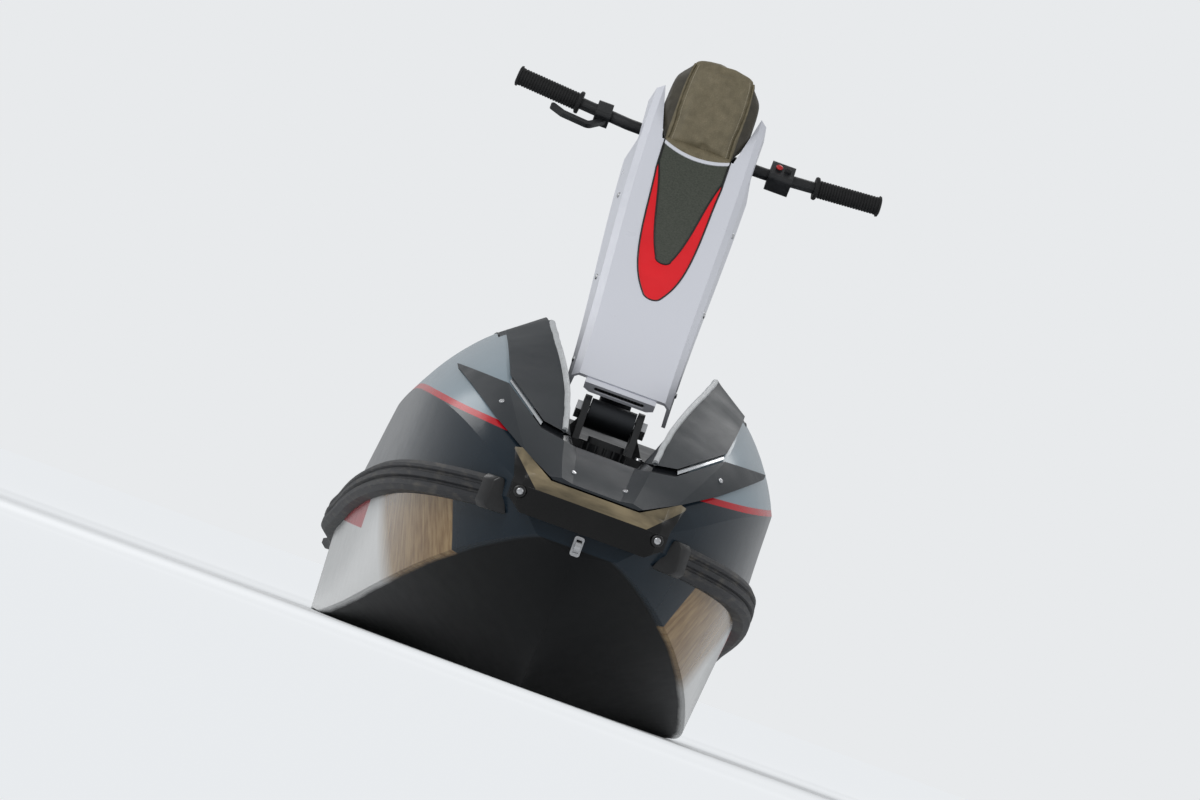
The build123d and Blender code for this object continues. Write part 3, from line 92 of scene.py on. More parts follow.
def feed(tree, socket, value):
    """Gives a socket a number, a colour or another node's output."""
    if isinstance(value, bpy.types.NodeSocket):
        tree.links.new(value, socket)
    elif isinstance(value, tuple) and len(value) == 3 and socket.type == "RGBA":
        socket.default_value = (*value, 1)
    else:
        socket.default_value = value


def calc(tree, operation, first, second=0.0):
    """Output of a Math node."""
    step = tree.nodes.new("ShaderNodeMath")
    step.operation = operation
    feed(tree, step.inputs[0], first)
    feed(tree, step.inputs[1], second)
    return step.outputs[0]


def rise(tree, value, low, high):
    """0 below low, 1 above high and even in between."""
    step = tree.nodes.new("ShaderNodeMapRange")
    feed(tree, step.inputs["Value"], value)
    feed(tree, step.inputs["From Min"], low)
    feed(tree, step.inputs["From Max"], high)
    return step.outputs["Result"]


FLOOR_HALF = 300.0
PALE = srgb(232, 234, 236)
SURROUND_LIGHT = 0.55
SURROUND_GLOSS = 0.6
FLOOR_GLOW_NEAR = 0.10
FLOOR_GLOW_FAR = 0.56
# Distances from the craft between which the lamps' light falls off
LAMP_REACH = (2.0, 9.0)

floor_mesh = bpy.data.meshes.new("floor")
plane = bmesh.new()
bmesh.ops.create_grid(plane, x_segments=1, y_segments=1, size=FLOOR_HALF)
plane.to_mesh(floor_mesh)
plane.free()
floor = bpy.data.objects.new("floor", floor_mesh)
bpy.context.collection.objects.link(floor)
floor_finish, floor_tree, floor_shader = finish("studio_floor", PALE, 0.6, specular=0.0)
floor_shader.inputs["Emission Color"].default_value = (*PALE, 1)
away = floor_tree.nodes.new("ShaderNodeVectorMath")
away.operation = "LENGTH"
floor_tree.links.new(floor_tree.nodes.new("ShaderNodeTexCoord").outputs["Object"], away.inputs[0])
glow = rise(floor_tree, away.outputs["Value"], *LAMP_REACH)
glow = calc(floor_tree, "MULTIPLY", glow, FLOOR_GLOW_FAR - FLOOR_GLOW_NEAR)
glow = calc(floor_tree, "ADD", glow, FLOOR_GLOW_NEAR)
seen_floor = floor_tree.nodes.new("ShaderNodeLightPath").outputs["Is Camera Ray"]
feed(floor_tree, floor_shader.inputs["Emission Strength"], calc(floor_tree, "MULTIPLY", seen_floor, glow))
floor_mesh.materials.append(floor_finish)

world = bpy.data.worlds.new("surround")
world.use_nodes = True
world_tree = world.node_tree
background = world_tree.nodes["Background"]
background.inputs["Color"].default_value = (*PALE, 1)
path = world_tree.nodes.new("ShaderNodeLightPath")
seen = calc(world_tree, "MAXIMUM", path.outputs["Is Camera Ray"], path.outputs["Is Transmission Ray"])
glossy = calc(world_tree, "MULTIPLY", path.outputs["Is Glossy Ray"], SURROUND_GLOSS)
seen = calc(world_tree, "MAXIMUM", seen, glossy)
feed(world_tree, background.inputs["Strength"], calc(world_tree, "MAXIMUM", seen, SURROUND_LIGHT))
bpy.context.scene.world = world

# Soft boxes: place, size, power. All face the same spot on the craft.
LIT_SPOT = Vector((0, -0.3, 0.3))
SOFT_BOXES = (
    ((-3.6, -4.6, 3.8), 2.4, 115.0),
    ((4.2, -3.2, 2.6), 2.0, 34.0),
    ((1.6, 4.4, 4.6), 3.0, 70.0),
    ((-3.4, 2.8, 2.6), 2.0, 26.0),
)
for number, (spot, size, power) in enumerate(SOFT_BOXES):
    lamp_data = bpy.data.lights.new(f"soft_box_{number}", "AREA")
    lamp_data.size = size
    lamp_data.energy = power
    lamp = bpy.data.objects.new(f"soft_box_{number}", lamp_data)
    lamp.location = spot
    lamp.rotation_euler = (LIT_SPOT - Vector(spot)).to_track_quat("-Z", "Y").to_euler()
    bpy.context.collection.objects.link(lamp)

# Hull: the lower glass-fibre moulding in gloss gelcoat, laid up in one female mould. The bottom is black to
# the chine, its black paint darkened further as painted shade. The sides are white with a red flash, and a
# painted reflection lies over them: slate at the bow, then streaked tan that fades to the white.
LENGTH = 2.655
WATERLINE = 0.090
SIDES = (("port", 1), ("starboard", -1))
# Slate: the deck's paint under its stripe, and on the hull's bow a painted reflection
SLATE_PAINT_AND_REFLECTION = srgb(28, 39, 48)
RED = srgb(190, 16, 32)
HULL_WHITE = srgb(222, 222, 220)
# Black paint of the bottom, darkened further as painted shade
BOTTOM_BLACK_AND_SHADE = srgb(5, 7, 9)
# Station from the bow and height over the keel line, in metres
CHINE = ((0.03, 0.352), (0.16, 0.299), (0.3, 0.252), (0.5, 0.202), (0.76, 0.157), (1.0, 0.127),
         (1.25, 0.108), (1.5, 0.097), (2.63, 0.088))
# Stations at which the painted slate reflection ends and between which the painted tan reflection goes over
# to white
REFLECTED_SLATE_END = 0.227
REFLECTED_TAN_END = (0.50, 0.62)
BOW_SLANT = 0.25
RIPPLE = 0.02
# The red flash tapers aft under the rail
FLASH_START = 0.9
FLASH_END = 1.75
FLASH_DEPTH = 0.024
FLASH_SLOPE = 0.07
FLASH_SLANT = 1.2
# The rail's lower edge: its height at the bow over the keel line, and its fall for each metre aft
RAIL_FOOT = 0.400
RAIL_FALL = 0.064
SOFT_EDGE = 0.002
BOTTOM_MATT = 0.3


def tint(tree, share, first, second):
    """Colour that goes from the first to the second as share goes from 0 to 1."""
    step = tree.nodes.new("ShaderNodeMix")
    step.data_type = "RGBA"
    feed(tree, step.inputs[0], share)
    feed(tree, step.inputs[6], first)
    feed(tree, step.inputs[7], second)
    return step.outputs[2]


def places(tree):
    """Place in metres in the craft's own frame, as x, y and z."""
    split = tree.nodes.new("ShaderNodeSeparateXYZ")
    tree.links.new(tree.nodes.new("ShaderNodeTexCoord").outputs["Object"], split.inputs[0])
    return split.outputs


def grain(tree, scale, detail=4.0, stretch=(1, 1, 1)):
    """Even noise, scale lumps to the metre, shorter along an axis where stretch is larger."""
    mapping = tree.nodes.new("ShaderNodeMapping")
    tree.links.new(tree.nodes.new("ShaderNodeTexCoord").outputs["Object"], mapping.inputs[0])
    mapping.inputs["Scale"].default_value = stretch
    noise = tree.nodes.new("ShaderNodeTexNoise")
    noise.inputs["Scale"].default_value = scale
    noise.inputs["Detail"].default_value = detail
    tree.links.new(mapping.outputs[0], noise.inputs["Vector"])
    return noise.outputs["Fac"]


def relief(tree, shader, height, depth, strength=1.0):
    """Bump of that depth in metres."""
    bump = tree.nodes.new("ShaderNodeBump")
    bump.inputs["Strength"].default_value = strength
    bump.inputs["Distance"].default_value = depth
    feed(tree, bump.inputs["Height"], height)
    tree.links.new(bump.outputs[0], shader.inputs["Normal"])


def dress(material, *names):
    """Puts a material on CAD nodes."""
    for name in names:
        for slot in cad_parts[name].material_slots:
            slot.material = material


def course(tree, y, points):
    """Height over the waterline of a line along the craft, given by stations and heights."""
    curve = tree.nodes.new("ShaderNodeFloatCurve")
    line = curve.mapping.curves[0]
    ends = (points[0], points[-1])
    for point, (station, height) in zip(line.points, ends):
        point.location = (station / LENGTH, height)
    for station, height in points[1:-1]:
        line.points.new(station / LENGTH, height)
    curve.mapping.update()
    share = calc(tree, "ADD", calc(tree, "DIVIDE", y, LENGTH), 0.5)
    feed(tree, curve.inputs["Value"], share)
    return calc(tree, "SUBTRACT", curve.outputs[0], WATERLINE)


hull_finish, tree, shader = finish("hull_gelcoat", HULL_WHITE, 0.2, specular=0.22)
_, y, z = places(tree)
station = calc(tree, "ADD", y, LENGTH / 2)
over_chine = calc(tree, "SUBTRACT", z, course(tree, y, CHINE))
# Painted reflection on the white sides: slate at the bow, then streaks of tan that fade aft
ripple = calc(tree, "MULTIPLY", calc(tree, "SUBTRACT", grain(tree, 9.0, 2.0), 0.5), RIPPLE)
reflection_streaks = rise(tree, grain(tree, 60.0, 3.0, (1, 1.6, 0.05)), 0.35, 0.65)
reflected_tan = tint(tree, reflection_streaks, srgb(130, 102, 68), srgb(164, 138, 100))
bow_edge = calc(tree, "ADD", station, calc(tree, "MULTIPLY", over_chine, BOW_SLANT))
side = tint(tree, rise(tree, bow_edge, REFLECTED_SLATE_END - SOFT_EDGE, REFLECTED_SLATE_END + SOFT_EDGE), SLATE_PAINT_AND_REFLECTION, reflected_tan)
aft_edge = calc(tree, "ADD", calc(tree, "SUBTRACT", station, over_chine), ripple)
side = tint(tree, rise(tree, aft_edge, *REFLECTED_TAN_END), side, HULL_WHITE)
rail_foot = calc(tree, "SUBTRACT", RAIL_FOOT, calc(tree, "MULTIPLY", station, RAIL_FALL))
under_rail = calc(tree, "SUBTRACT", rail_foot, calc(tree, "ADD", z, WATERLINE))
taper = calc(tree, "MULTIPLY", calc(tree, "SUBTRACT", FLASH_END, station), FLASH_SLOPE)
below = calc(tree, "LESS_THAN", under_rail, calc(tree, "ADD", taper, FLASH_DEPTH))
slant = calc(tree, "SUBTRACT", station, calc(tree, "MULTIPLY", under_rail, FLASH_SLANT))
flash = calc(tree, "MULTIPLY", below, rise(tree, slant, FLASH_START, FLASH_START + SOFT_EDGE))
side = tint(tree, flash, side, RED)
# Below the chine: black paint and painted shade
above = rise(tree, over_chine, -SOFT_EDGE, 0.0)
feed(tree, shader.inputs["Base Color"], tint(tree, above, BOTTOM_BLACK_AND_SHADE, side))
worn = calc(tree, "ADD", 0.14, calc(tree, "MULTIPLY", grain(tree, 30.0), 0.1))
matt = calc(tree, "MULTIPLY", calc(tree, "SUBTRACT", 1.0, above), BOTTOM_MATT)
feed(tree, shader.inputs["Roughness"], calc(tree, "ADD", worn, matt))
relief(tree, shader, grain(tree, 160.0, 2.0), 0.00005)
dress(hull_finish, "hull")

# Deck: the upper moulding, bonded to the hull along its edge under the rail. It is slate up to a red
# pinstripe on its knuckle and white above it, painted in the cool blue-grey of white in shade, and dark in
# the valley under the pole.
# Station from the bow and height over the keel line
STRIPE = ((0.03, 0.492), (0.16, 0.504), (0.3, 0.512), (0.5, 0.521), (0.76, 0.526), (1.0, 0.523),
          (1.25, 0.511), (1.5, 0.491), (1.85, 0.439), (2.25, 0.397), (2.63, 0.375))
STRIPE_LOW = 0.002
STRIPE_HIGH = 0.0125
STRIPE_EDGE = 0.001
# The deck's white, painted as it looks in shade
SHADED_DECK_WHITE = srgb(140, 156, 166)
VALLEY_DARK = srgb(26, 28, 31)
VALLEY_HALF = 0.146
VALLEY_END = 0.18
deck_finish, tree, shader = finish("deck_gelcoat", SHADED_DECK_WHITE, 0.2, specular=0.22)
x, y, z = places(tree)
over_stripe = calc(tree, "SUBTRACT", z, course(tree, y, STRIPE))
colour = tint(tree, rise(tree, over_stripe, STRIPE_LOW, STRIPE_LOW + STRIPE_EDGE), SLATE_PAINT_AND_REFLECTION, RED)
pale = rise(tree, over_stripe, STRIPE_HIGH, STRIPE_HIGH + STRIPE_EDGE)
colour = tint(tree, pale, colour, SHADED_DECK_WHITE)
valley = calc(tree, "MULTIPLY", calc(tree, "LESS_THAN", calc(tree, "ABSOLUTE", x), VALLEY_HALF),
              calc(tree, "LESS_THAN", y, VALLEY_END))
feed(tree, shader.inputs["Base Color"], tint(tree, valley, colour, VALLEY_DARK))
worn = calc(tree, "ADD", 0.15, calc(tree, "MULTIPLY", grain(tree, 30.0), 0.1))
feed(tree, shader.inputs["Roughness"], worn)
relief(tree, shader, grain(tree, 160.0, 2.0), 0.00005)
dress(deck_finish, "deck")

# Cowl and shoulder fairings: charcoal mouldings with a fine pebbled grain, screwed down on the nose. A pale
# bead along each fairing's edge over the pole's valley is a painted highlight on that edge.
# Station from the bow and half width
RIDGE = ((0.180, 0.0845), (0.300, 0.098), (0.500, 0.132), (0.690, 0.153))
RIDGE_STEPS = 14
RIDGE_SEARCH = 0.016
RIDGE_TRIES = 16
HIGHLIGHT_BEAD_RADIUS = 0.0055
HIGHLIGHT_BEAD_SUNK = 0.001
# Across and height
COWL_SCREWS = ((0.048, 0.386), (-0.048, 0.386), (0.205, 0.462), (-0.205, 0.462))
COWL_SCREW_RADIUS = 0.0052
COWL_SCREW_HEIGHT = 0.003
# Places outside the craft from which lines are cast at it
AHEAD = -1.6
OVERHEAD = 1.0
# A screw's head, as shares of its height and of its radius
HEAD_PROUD = 0.35
NOTCH_DEPTH = 0.45
HEAD_TAPER = 0.9
HEAD_ROUND = 0.28
NOTCH_RIM = 0.16
# Leans the search for the notch's facet to one side, so that it is the same facet in every run
NOTCH_LEAN = 0.01
# Corners nearer than this are joined
SAME_PLACE = 0.00001
charcoal_finish, tree, shader = finish("charcoal_moulding", srgb(44, 48, 52), 0.42, specular=0.24)
shade = rise(tree, grain(tree, 6.0, 5.0), 0.3, 0.75)
feed(tree, shader.inputs["Base Color"], tint(tree, shade, srgb(37, 41, 46), srgb(54, 58, 61)))
feed(tree, shader.inputs["Roughness"], rise(tree, grain(tree, 12.0), -0.7, 1.6))
relief(tree, shader, grain(tree, 900.0, 2.0), 0.0003, 0.6)
dress(charcoal_finish, "nose_cowl", "shoulder_fairing_port", "shoulder_fairing_starboard")

steel_finish, tree, shader = finish("stainless", srgb(196, 197, 199), 0.25, metallic=1.0)
feed(tree, shader.inputs["Roughness"], rise(tree, grain(tree, 160.0, 4.0, (1, 8, 1)), -0.4, 2.6))

# Painted highlight: the pale bead stands for the light on each fairing's ridge edge
ridge_highlight_finish, tree, shader = finish("ridge_highlight_bead", srgb(186, 190, 192), 0.4)
scuff = rise(tree, grain(tree, 80.0, 5.0), 0.45, 0.75)
feed(tree, shader.inputs["Base Color"], tint(tree, scuff, srgb(190, 193, 195), srgb(172, 174, 175)))
relief(tree, shader, grain(tree, 700.0, 2.0), 0.0001)


def piece(name, bm, material, body):
    """Makes a finished mesh an object that moves with a body."""
    bmesh.ops.recalc_face_normals(bm, faces=bm.faces)
    mesh = bpy.data.meshes.new(name)
    bm.to_mesh(mesh)
    bm.free()
    made = bpy.data.objects.new(name, mesh)
    bpy.context.collection.objects.link(made)
    mesh.materials.append(material)
    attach(made, body)
    return made


def smooth(made, angle=35):
    """Shades a piece smooth, with edges sharper than the angle kept crisp."""
    made.data.shade_smooth()
    made.data.set_sharp_from_angle(angle=radians(angle))
    return made


def skin(node):
    """A CAD node's surface, to find where a line meets it."""
    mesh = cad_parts[node].data
    return BVHTree.FromPolygons([v.co for v in mesh.vertices], [p.vertices for p in mesh.polygons])


def landing(surface, start, way):
    """Where a line from start first meets a surface, and the surface's outward direction there."""
    spot, normal, _, _ = surface.ray_cast(Vector(start), Vector(way))
    if normal.dot(Vector(way)) > 0:
        normal = -normal
    return spot, normal


def add_screws(bm, spots, radius, height):
    """Round-headed screws, one at each spot, along its normal, each with a notch in its rounded edge."""
    for spot, normal in spots:
        turn = normal.to_track_quat("Z", "Y").to_matrix().to_4x4()
        place = Matrix.Translation(spot + normal * height * HEAD_PROUD) @ turn
        head = bmesh.ops.create_cone(bm, cap_ends=True, segments=18, radius1=radius,
                                     radius2=radius * HEAD_TAPER, depth=height, matrix=place)
        faces = {face for vert in head["verts"] for face in vert.link_faces}
        crown = max(faces, key=lambda face: face.calc_center_median().dot(normal))
        rounded = bmesh.ops.bevel(bm, geom=list(crown.edges), offset=radius * HEAD_ROUND, segments=3,
                                  profile=0.5, affect="EDGES", material=-1)
        leaning = normal + turn.col[0].to_3d() * NOTCH_LEAN
        facet = max(rounded["faces"], key=lambda face: face.calc_center_median().dot(leaning))
        facet.normal_update()
        if facet.normal.dot(normal) < 0:
            facet.normal_flip()
        bmesh.ops.inset_individual(bm, faces=[facet], thickness=radius * NOTCH_RIM,
                                   depth=-height * NOTCH_DEPTH)


def add_tube(bm, points, radius, sides=3):
    """A round bead along points."""
    line = bpy.data.curves.new("line", "CURVE")
    line.dimensions = "3D"
    line.bevel_depth = radius
    line.bevel_resolution = sides
    line.use_fill_caps = True
    run = line.splines.new("POLY")
    run.points.add(len(points) - 1)
    for point, spot in zip(run.points, points):
        point.co = (*spot, 1)
    holder = bpy.data.objects.new("line", line)
    mesh = bpy.data.meshes.new_from_object(holder)
    bm.from_mesh(mesh)
    bmesh.ops.remove_doubles(bm, verts=bm.verts, dist=SAME_PLACE)
    bpy.data.objects.remove(holder)
    bpy.data.meshes.remove(mesh)
    bpy.data.curves.remove(line)


def course_points(table, steps):
    """Even steps along a line that a table gives by station and half width."""
    for (s0, x0), (s1, x1) in zip(table, table[1:]):
        for step in range(steps):
            share = step / steps
            yield x0 + (x1 - x0) * share, s0 + (s1 - s0) * share - LENGTH / 2


for name, way in SIDES:
    fairing = skin(f"shoulder_fairing_{name}")
    edge = []
    for x, y in course_points(RIDGE, RIDGE_STEPS):
        tries = [way * (x + RIDGE_SEARCH * share / RIDGE_TRIES)
                 for share in range(-RIDGE_TRIES, RIDGE_TRIES + 1)]
        hits = [fairing.ray_cast(Vector((across, y, OVERHEAD)), Vector((0, 0, -1)))[0] for across in tries]
        hits = [hit for hit in hits if hit]
        if hits:
            edge.append(max(hits, key=lambda hit: hit.z) - Vector((0, 0, HIGHLIGHT_BEAD_SUNK)))
    trim = bmesh.new()
    add_tube(trim, edge, HIGHLIGHT_BEAD_RADIUS)
    smooth(piece(f"fairing_highlight_{name}", trim, ridge_highlight_finish, "root"))

screws = bmesh.new()
cowl = skin("nose_cowl")
spots = [landing(cowl, (x, AHEAD, z), (0, 1, 0)) for x, z in COWL_SCREWS]
add_screws(screws, spots, COWL_SCREW_RADIUS, COWL_SCREW_HEIGHT)
smooth(piece("cowl_screws", screws, steel_finish, "root"), 40)

# Air ducts: thin bright metal liners in the slots between the cowl's wings and the fairings, which feed air
# to the engine bay. Each is pressed into its slot from above.
duct_finish, tree, shader = finish("duct_bright", srgb(206, 209, 212), 0.2, metallic=0.8)
feed(tree, shader.inputs["Roughness"], rise(tree, grain(tree, 300.0), -0.2, 3.5))
dress(duct_finish, "duct_inlet_port", "duct_inlet_starboard")

# Bumper: a polyurethane moulding across the nose. Its brow leans back under the cowl and carries a painted
# reflection of warm light in gold-brown streaks, and below that it is gloss black. One steel bolt stands in
# the dark cap at each end.
BROW_FOOT = 0.335
BROW_TOP = 0.361
BROW_LEAN = 0.75
BROW_FLAT_HALF = 0.103
BROW_RISE = 0.97
# Across and height
BUMPER_BOLT = (0.128, 0.323)
BUMPER_BOLT_RADIUS = 0.0066
BUMPER_BOLT_HEIGHT = 0.004
BUMPER_ROUND = 0.0022
BUMPER_SHARP = radians(28)
BUMPER_SLIVER = 0.0001
BROW_BLEND = 0.0008
BUMPER_BLACK = srgb(10, 10, 10)
bumper_finish, tree, shader = finish("bumper_gloss", BUMPER_BLACK, 0.2, specular=0.35)
x, _, z = places(tree)
wing = calc(tree, "MAXIMUM", calc(tree, "SUBTRACT", calc(tree, "ABSOLUTE", x), BROW_FLAT_HALF), 0.0)
over_foot = calc(tree, "SUBTRACT", z, BROW_FOOT)
over_brow = calc(tree, "SUBTRACT", over_foot, calc(tree, "MULTIPLY", wing, BROW_RISE))
# Painted reflection: warm gold-brown streaks on the brow above the black
reflection_streak = rise(tree, grain(tree, 26.0, 4.0, (0.3, 1, 1)), 0.35, 0.65)
reflected_gold = tint(tree, reflection_streak, srgb(82, 74, 58), srgb(146, 132, 104))
brow = rise(tree, over_brow, 0.0, BROW_BLEND)
feed(tree, shader.inputs["Base Color"], tint(tree, brow, BUMPER_BLACK, reflected_gold))
feed(tree, shader.inputs["Roughness"], rise(tree, grain(tree, 20.0), -0.2, 3.4))
relief(tree, shader, grain(tree, 200.0, 2.0), 0.00008)


def merged(node):
    """A copy of a CAD node's mesh with its corners joined."""
    bm = bmesh.new()
    bm.from_mesh(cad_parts[node].data)
    bmesh.ops.remove_doubles(bm, verts=bm.verts, dist=SAME_PLACE)
    return bm


def everything(bm):
    """All corners, edges and faces of a mesh, for an operator that cuts it."""
    return list(bm.verts) + list(bm.edges) + list(bm.faces)


bumper = merged("nose_bumper")
bmesh.ops.dissolve_limit(bumper, angle_limit=radians(1), verts=bumper.verts, edges=bumper.edges)
for height in (BROW_FOOT, BROW_TOP):
    bmesh.ops.bisect_plane(bumper, geom=everything(bumper), plane_co=(0, 0, height), plane_no=(0, 0, 1))
for vert in bumper.verts:
    vert.co.y += min(max(vert.co.z - BROW_FOOT, 0.0), BROW_TOP - BROW_FOOT) * BROW_LEAN
bmesh.ops.dissolve_degenerate(bumper, dist=BUMPER_SLIVER, edges=bumper.edges)
bumper_piece = piece("bumper_moulding", bumper, bumper_finish, "root")
rounded = bumper_piece.modifiers.new("rounded", "BEVEL")
rounded.width = BUMPER_ROUND
rounded.segments = 3
rounded.limit_method = "ANGLE"
rounded.angle_limit = BUMPER_SHARP
smooth(bumper_piece, 40)
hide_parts("nose_bumper")

cap_finish, tree, shader = finish("cap_black", srgb(22, 22, 23), 0.35)
feed(tree, shader.inputs["Roughness"], rise(tree, grain(tree, 60.0), -0.5, 2.2))
relief(tree, shader, grain(tree, 500.0, 2.0), 0.0001)
dress(cap_finish, "bumper_caps")
screws = bmesh.new()
caps = skin("bumper_caps")
spots = [landing(caps, (way * BUMPER_BOLT[0], AHEAD, BUMPER_BOLT[1]), (0, 1, 0)) for _, way in SIDES]
add_screws(screws, spots, BUMPER_BOLT_RADIUS, BUMPER_BOLT_HEIGHT)
smooth(piece("bumper_bolts", screws, steel_finish, "root"), 40)
dress(steel_finish, "bow_eye")

# Rub rail: ribbed dark rubber, pushed over the bond flange and scuffed in patches. A moulded clamp holds
# its front end beside the bumper.
CLAMP_LENGTH = 0.030
CLAMP_GROW = 1.10
CLAMP_STRETCH = 0.022
CLAMP_ROUND = 0.003
# Way in which the rail runs at its front end, out and aft
RAIL_HEADING = (0.55, 0.83)
rubber_finish, tree, shader = finish("rail_rubber", srgb(52, 52, 54), 0.62, specular=0.4)
scuff = rise(tree, grain(tree, 50.0, 6.0, (1, 0.3, 2)), 0.5, 0.8)
feed(tree, shader.inputs["Base Color"], tint(tree, scuff, srgb(42, 43, 46), srgb(84, 80, 74)))
relief(tree, shader, grain(tree, 700.0, 2.0), 0.0003)
dress(rubber_finish, "rub_rail_port", "rub_rail_starboard")
for name, way in SIDES:
    rail = merged(f"rub_rail_{name}")
    heading = Vector((way * RAIL_HEADING[0], RAIL_HEADING[1], 0)).normalized()
    reach = min(vert.co.dot(heading) for vert in rail.verts)
    bmesh.ops.bisect_plane(rail, geom=everything(rail), plane_co=heading * (reach + CLAMP_LENGTH),
                           plane_no=heading, clear_outer=True)
    clamp = bmesh.new()
    for vert in rail.verts:
        clamp.verts.new(vert.co)
    rail.free()
    wrap = bmesh.ops.convex_hull(clamp, input=clamp.verts)
    inside = [item for item in wrap["geom_interior"] if isinstance(item, bmesh.types.BMVert)]
    bmesh.ops.delete(clamp, geom=inside)
    bmesh.ops.dissolve_limit(clamp, angle_limit=radians(8), verts=clamp.verts, edges=clamp.edges)
    middle = sum((vert.co for vert in clamp.verts), Vector()) / len(clamp.verts)
    bmesh.ops.scale(clamp, verts=clamp.verts, vec=(CLAMP_GROW,) * 3, space=Matrix.Translation(-middle))
    ahead = [vert for vert in clamp.verts if vert.co.dot(heading) < middle.dot(heading)]
    bmesh.ops.translate(clamp, verts=ahead, vec=-heading * CLAMP_STRETCH)
    bmesh.ops.bevel(clamp, geom=clamp.edges[:], offset=CLAMP_ROUND, segments=2, profile=0.5,
                    affect="EDGES", material=-1)
    smooth(piece(f"rail_clamp_{name}", clamp, cap_finish, "root"), 30)

# Engine hood: charcoal glass-fibre cover over the engine bay, with a rubber seal in the joint round it,
# two steel latches at its back edge and a rubber rest for the pole when it is down.
# Station from the bow and half width
HOOD_EDGE = ((0.735, 0.2333), (1.000, 0.236), (1.250, 0.248), (1.462, 0.283))
HOOD_BACK = 1.465
# How far inside the hood's edges its height is read, and how far out from there the side seals lie
HOOD_BACK_INSET = 0.003
HOOD_SIDE_INSET = 0.001
SEAL_OUT = 0.002
SEAL_STEPS = 16
BACK_STEPS = 60
SEAL_RADIUS = 0.0018
SEAL_DROP = 0.0022
dress(charcoal_finish, "engine_hood")
dress(steel_finish, "hood_latches")
grip_finish, tree, shader = finish("grip_rubber", srgb(22, 22, 23), 0.7, specular=0.35)
relief(tree, shader, grain(tree, 800.0, 2.0), 0.0004)
feed(tree, shader.inputs["Base Color"], tint(tree, grain(tree, 60.0), srgb(18, 18, 19), srgb(32, 32, 33)))
dress(grip_finish, "pole_rest")
hood = skin("engine_hood")
seal = bmesh.new()
for _, way in SIDES:
    edge = [landing(hood, (way * (x - HOOD_SIDE_INSET), y, OVERHEAD), (0, 0, -1))[0]
            + Vector((way * SEAL_OUT, 0, -SEAL_DROP)) for x, y in course_points(HOOD_EDGE, SEAL_STEPS)]
    add_tube(seal, edge, SEAL_RADIUS)
half = HOOD_EDGE[-1][1]
back_edge = HOOD_BACK - HOOD_BACK_INSET - LENGTH / 2
edge = [landing(hood, (half * share / BACK_STEPS, back_edge, OVERHEAD), (0, 0, -1))[0]
        + Vector((0, HOOD_BACK_INSET, -SEAL_DROP)) for share in range(1 - BACK_STEPS, BACK_STEPS)]
add_tube(seal, edge, SEAL_RADIUS)
smooth(piece("hood_seal", seal, rubber_finish, "root"))

# Foam mats in the tray and on the gunwales: closed-cell foam, moulded in raised lozenges in the tray
# and in ribs on the gunwales, and glued down.
MAT_PITCH = 0.050
MAT_EMBOSS = 0.0024
MAT_SLANT = 1.4
PAD_PITCH = 0.022
PAD_EMBOSS = 0.0016
# Faces of a smaller area than this, in square metres, aren't raised
SMALLEST_BLOCK = 0.00004
mat_finish, tree, shader = finish("mat_foam", srgb(44, 46, 50), 0.9)
mottle = rise(tree, grain(tree, 16.0, 6.0), 0.3, 0.75)
feed(tree, shader.inputs["Base Color"], tint(tree, mottle, srgb(38, 40, 44), srgb(58, 60, 63)))
cells = calc(tree, "ADD", grain(tree, 1500.0, 2.0), calc(tree, "MULTIPLY", grain(tree, 350.0), 0.6))
relief(tree, shader, cells, 0.0005)


def embossed(name, node, cuts, lift):
    """Copy of a foam node whose top is cut by planes into blocks, which stand up from it and draw in."""
    bm = merged(node)
    bmesh.ops.dissolve_limit(bm, angle_limit=radians(2), verts=bm.verts, edges=bm.edges)
    low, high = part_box(node)
    for direction, pitch in cuts:
        direction = Vector(direction).normalized()
        corners = [Vector((x, y, low.z)).dot(direction) for x in (low.x, high.x) for y in (low.y, high.y)]
        mark = min(corners) + pitch / 2
        while mark < max(corners):
            bmesh.ops.bisect_plane(bm, geom=everything(bm), plane_co=direction * mark, plane_no=direction)
            mark += pitch
    bm.normal_update()
    tops = [face for face in bm.faces if face.normal.z > 0.8 and face.calc_area() > SMALLEST_BLOCK]
    bmesh.ops.inset_individual(bm, faces=tops, thickness=lift, depth=lift)
    made = piece(name, bm, mat_finish, "root")
    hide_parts(node)


mat_cuts = [((1, slant, 0), MAT_PITCH) for slant in (MAT_SLANT, -MAT_SLANT)]
embossed("tray_mat_foam", "tray_mat", mat_cuts, MAT_EMBOSS)
for name, _ in SIDES:
    embossed(f"gunwale_foam_{name}", f"gunwale_pad_{name}", [((0, 1, 0), PAD_PITCH)], PAD_EMBOSS)

# Bracket and pivot: a welded steel stand bolted to the valley's floor, in black powder coat, with a steel
# shaft through it. The filler cap sits ahead of it.
# Across and along the craft
BRACKET_BOLTS = tuple((x, s - LENGTH / 2) for x in (-0.069, 0.069) for s in (0.556, 0.676))
BRACKET_BOLT_RADIUS = 0.008
BRACKET_BOLT_HEIGHT = 0.006
OVER_BRACKET = 0.6
black_finish, tree, shader = finish("black_coat", srgb(27, 28, 30), 0.4)
shade = rise(tree, grain(tree, 30.0, 5.0), 0.4, 0.8)
feed(tree, shader.inputs["Base Color"], tint(tree, shade, srgb(23, 24, 26), srgb(42, 43, 45)))
feed(tree, shader.inputs["Roughness"], rise(tree, grain(tree, 50.0), -0.5, 2.0))
relief(tree, shader, grain(tree, 900.0, 2.0), 0.0002)
dress(black_finish, "pole_bracket", "fuel_cap")
dress(steel_finish, "pole_pivot_shaft")
screws = bmesh.new()
bracket = skin("pole_bracket")
spots = [landing(bracket, (x, y, OVER_BRACKET), (0, 0, -1)) for x, y in BRACKET_BOLTS]
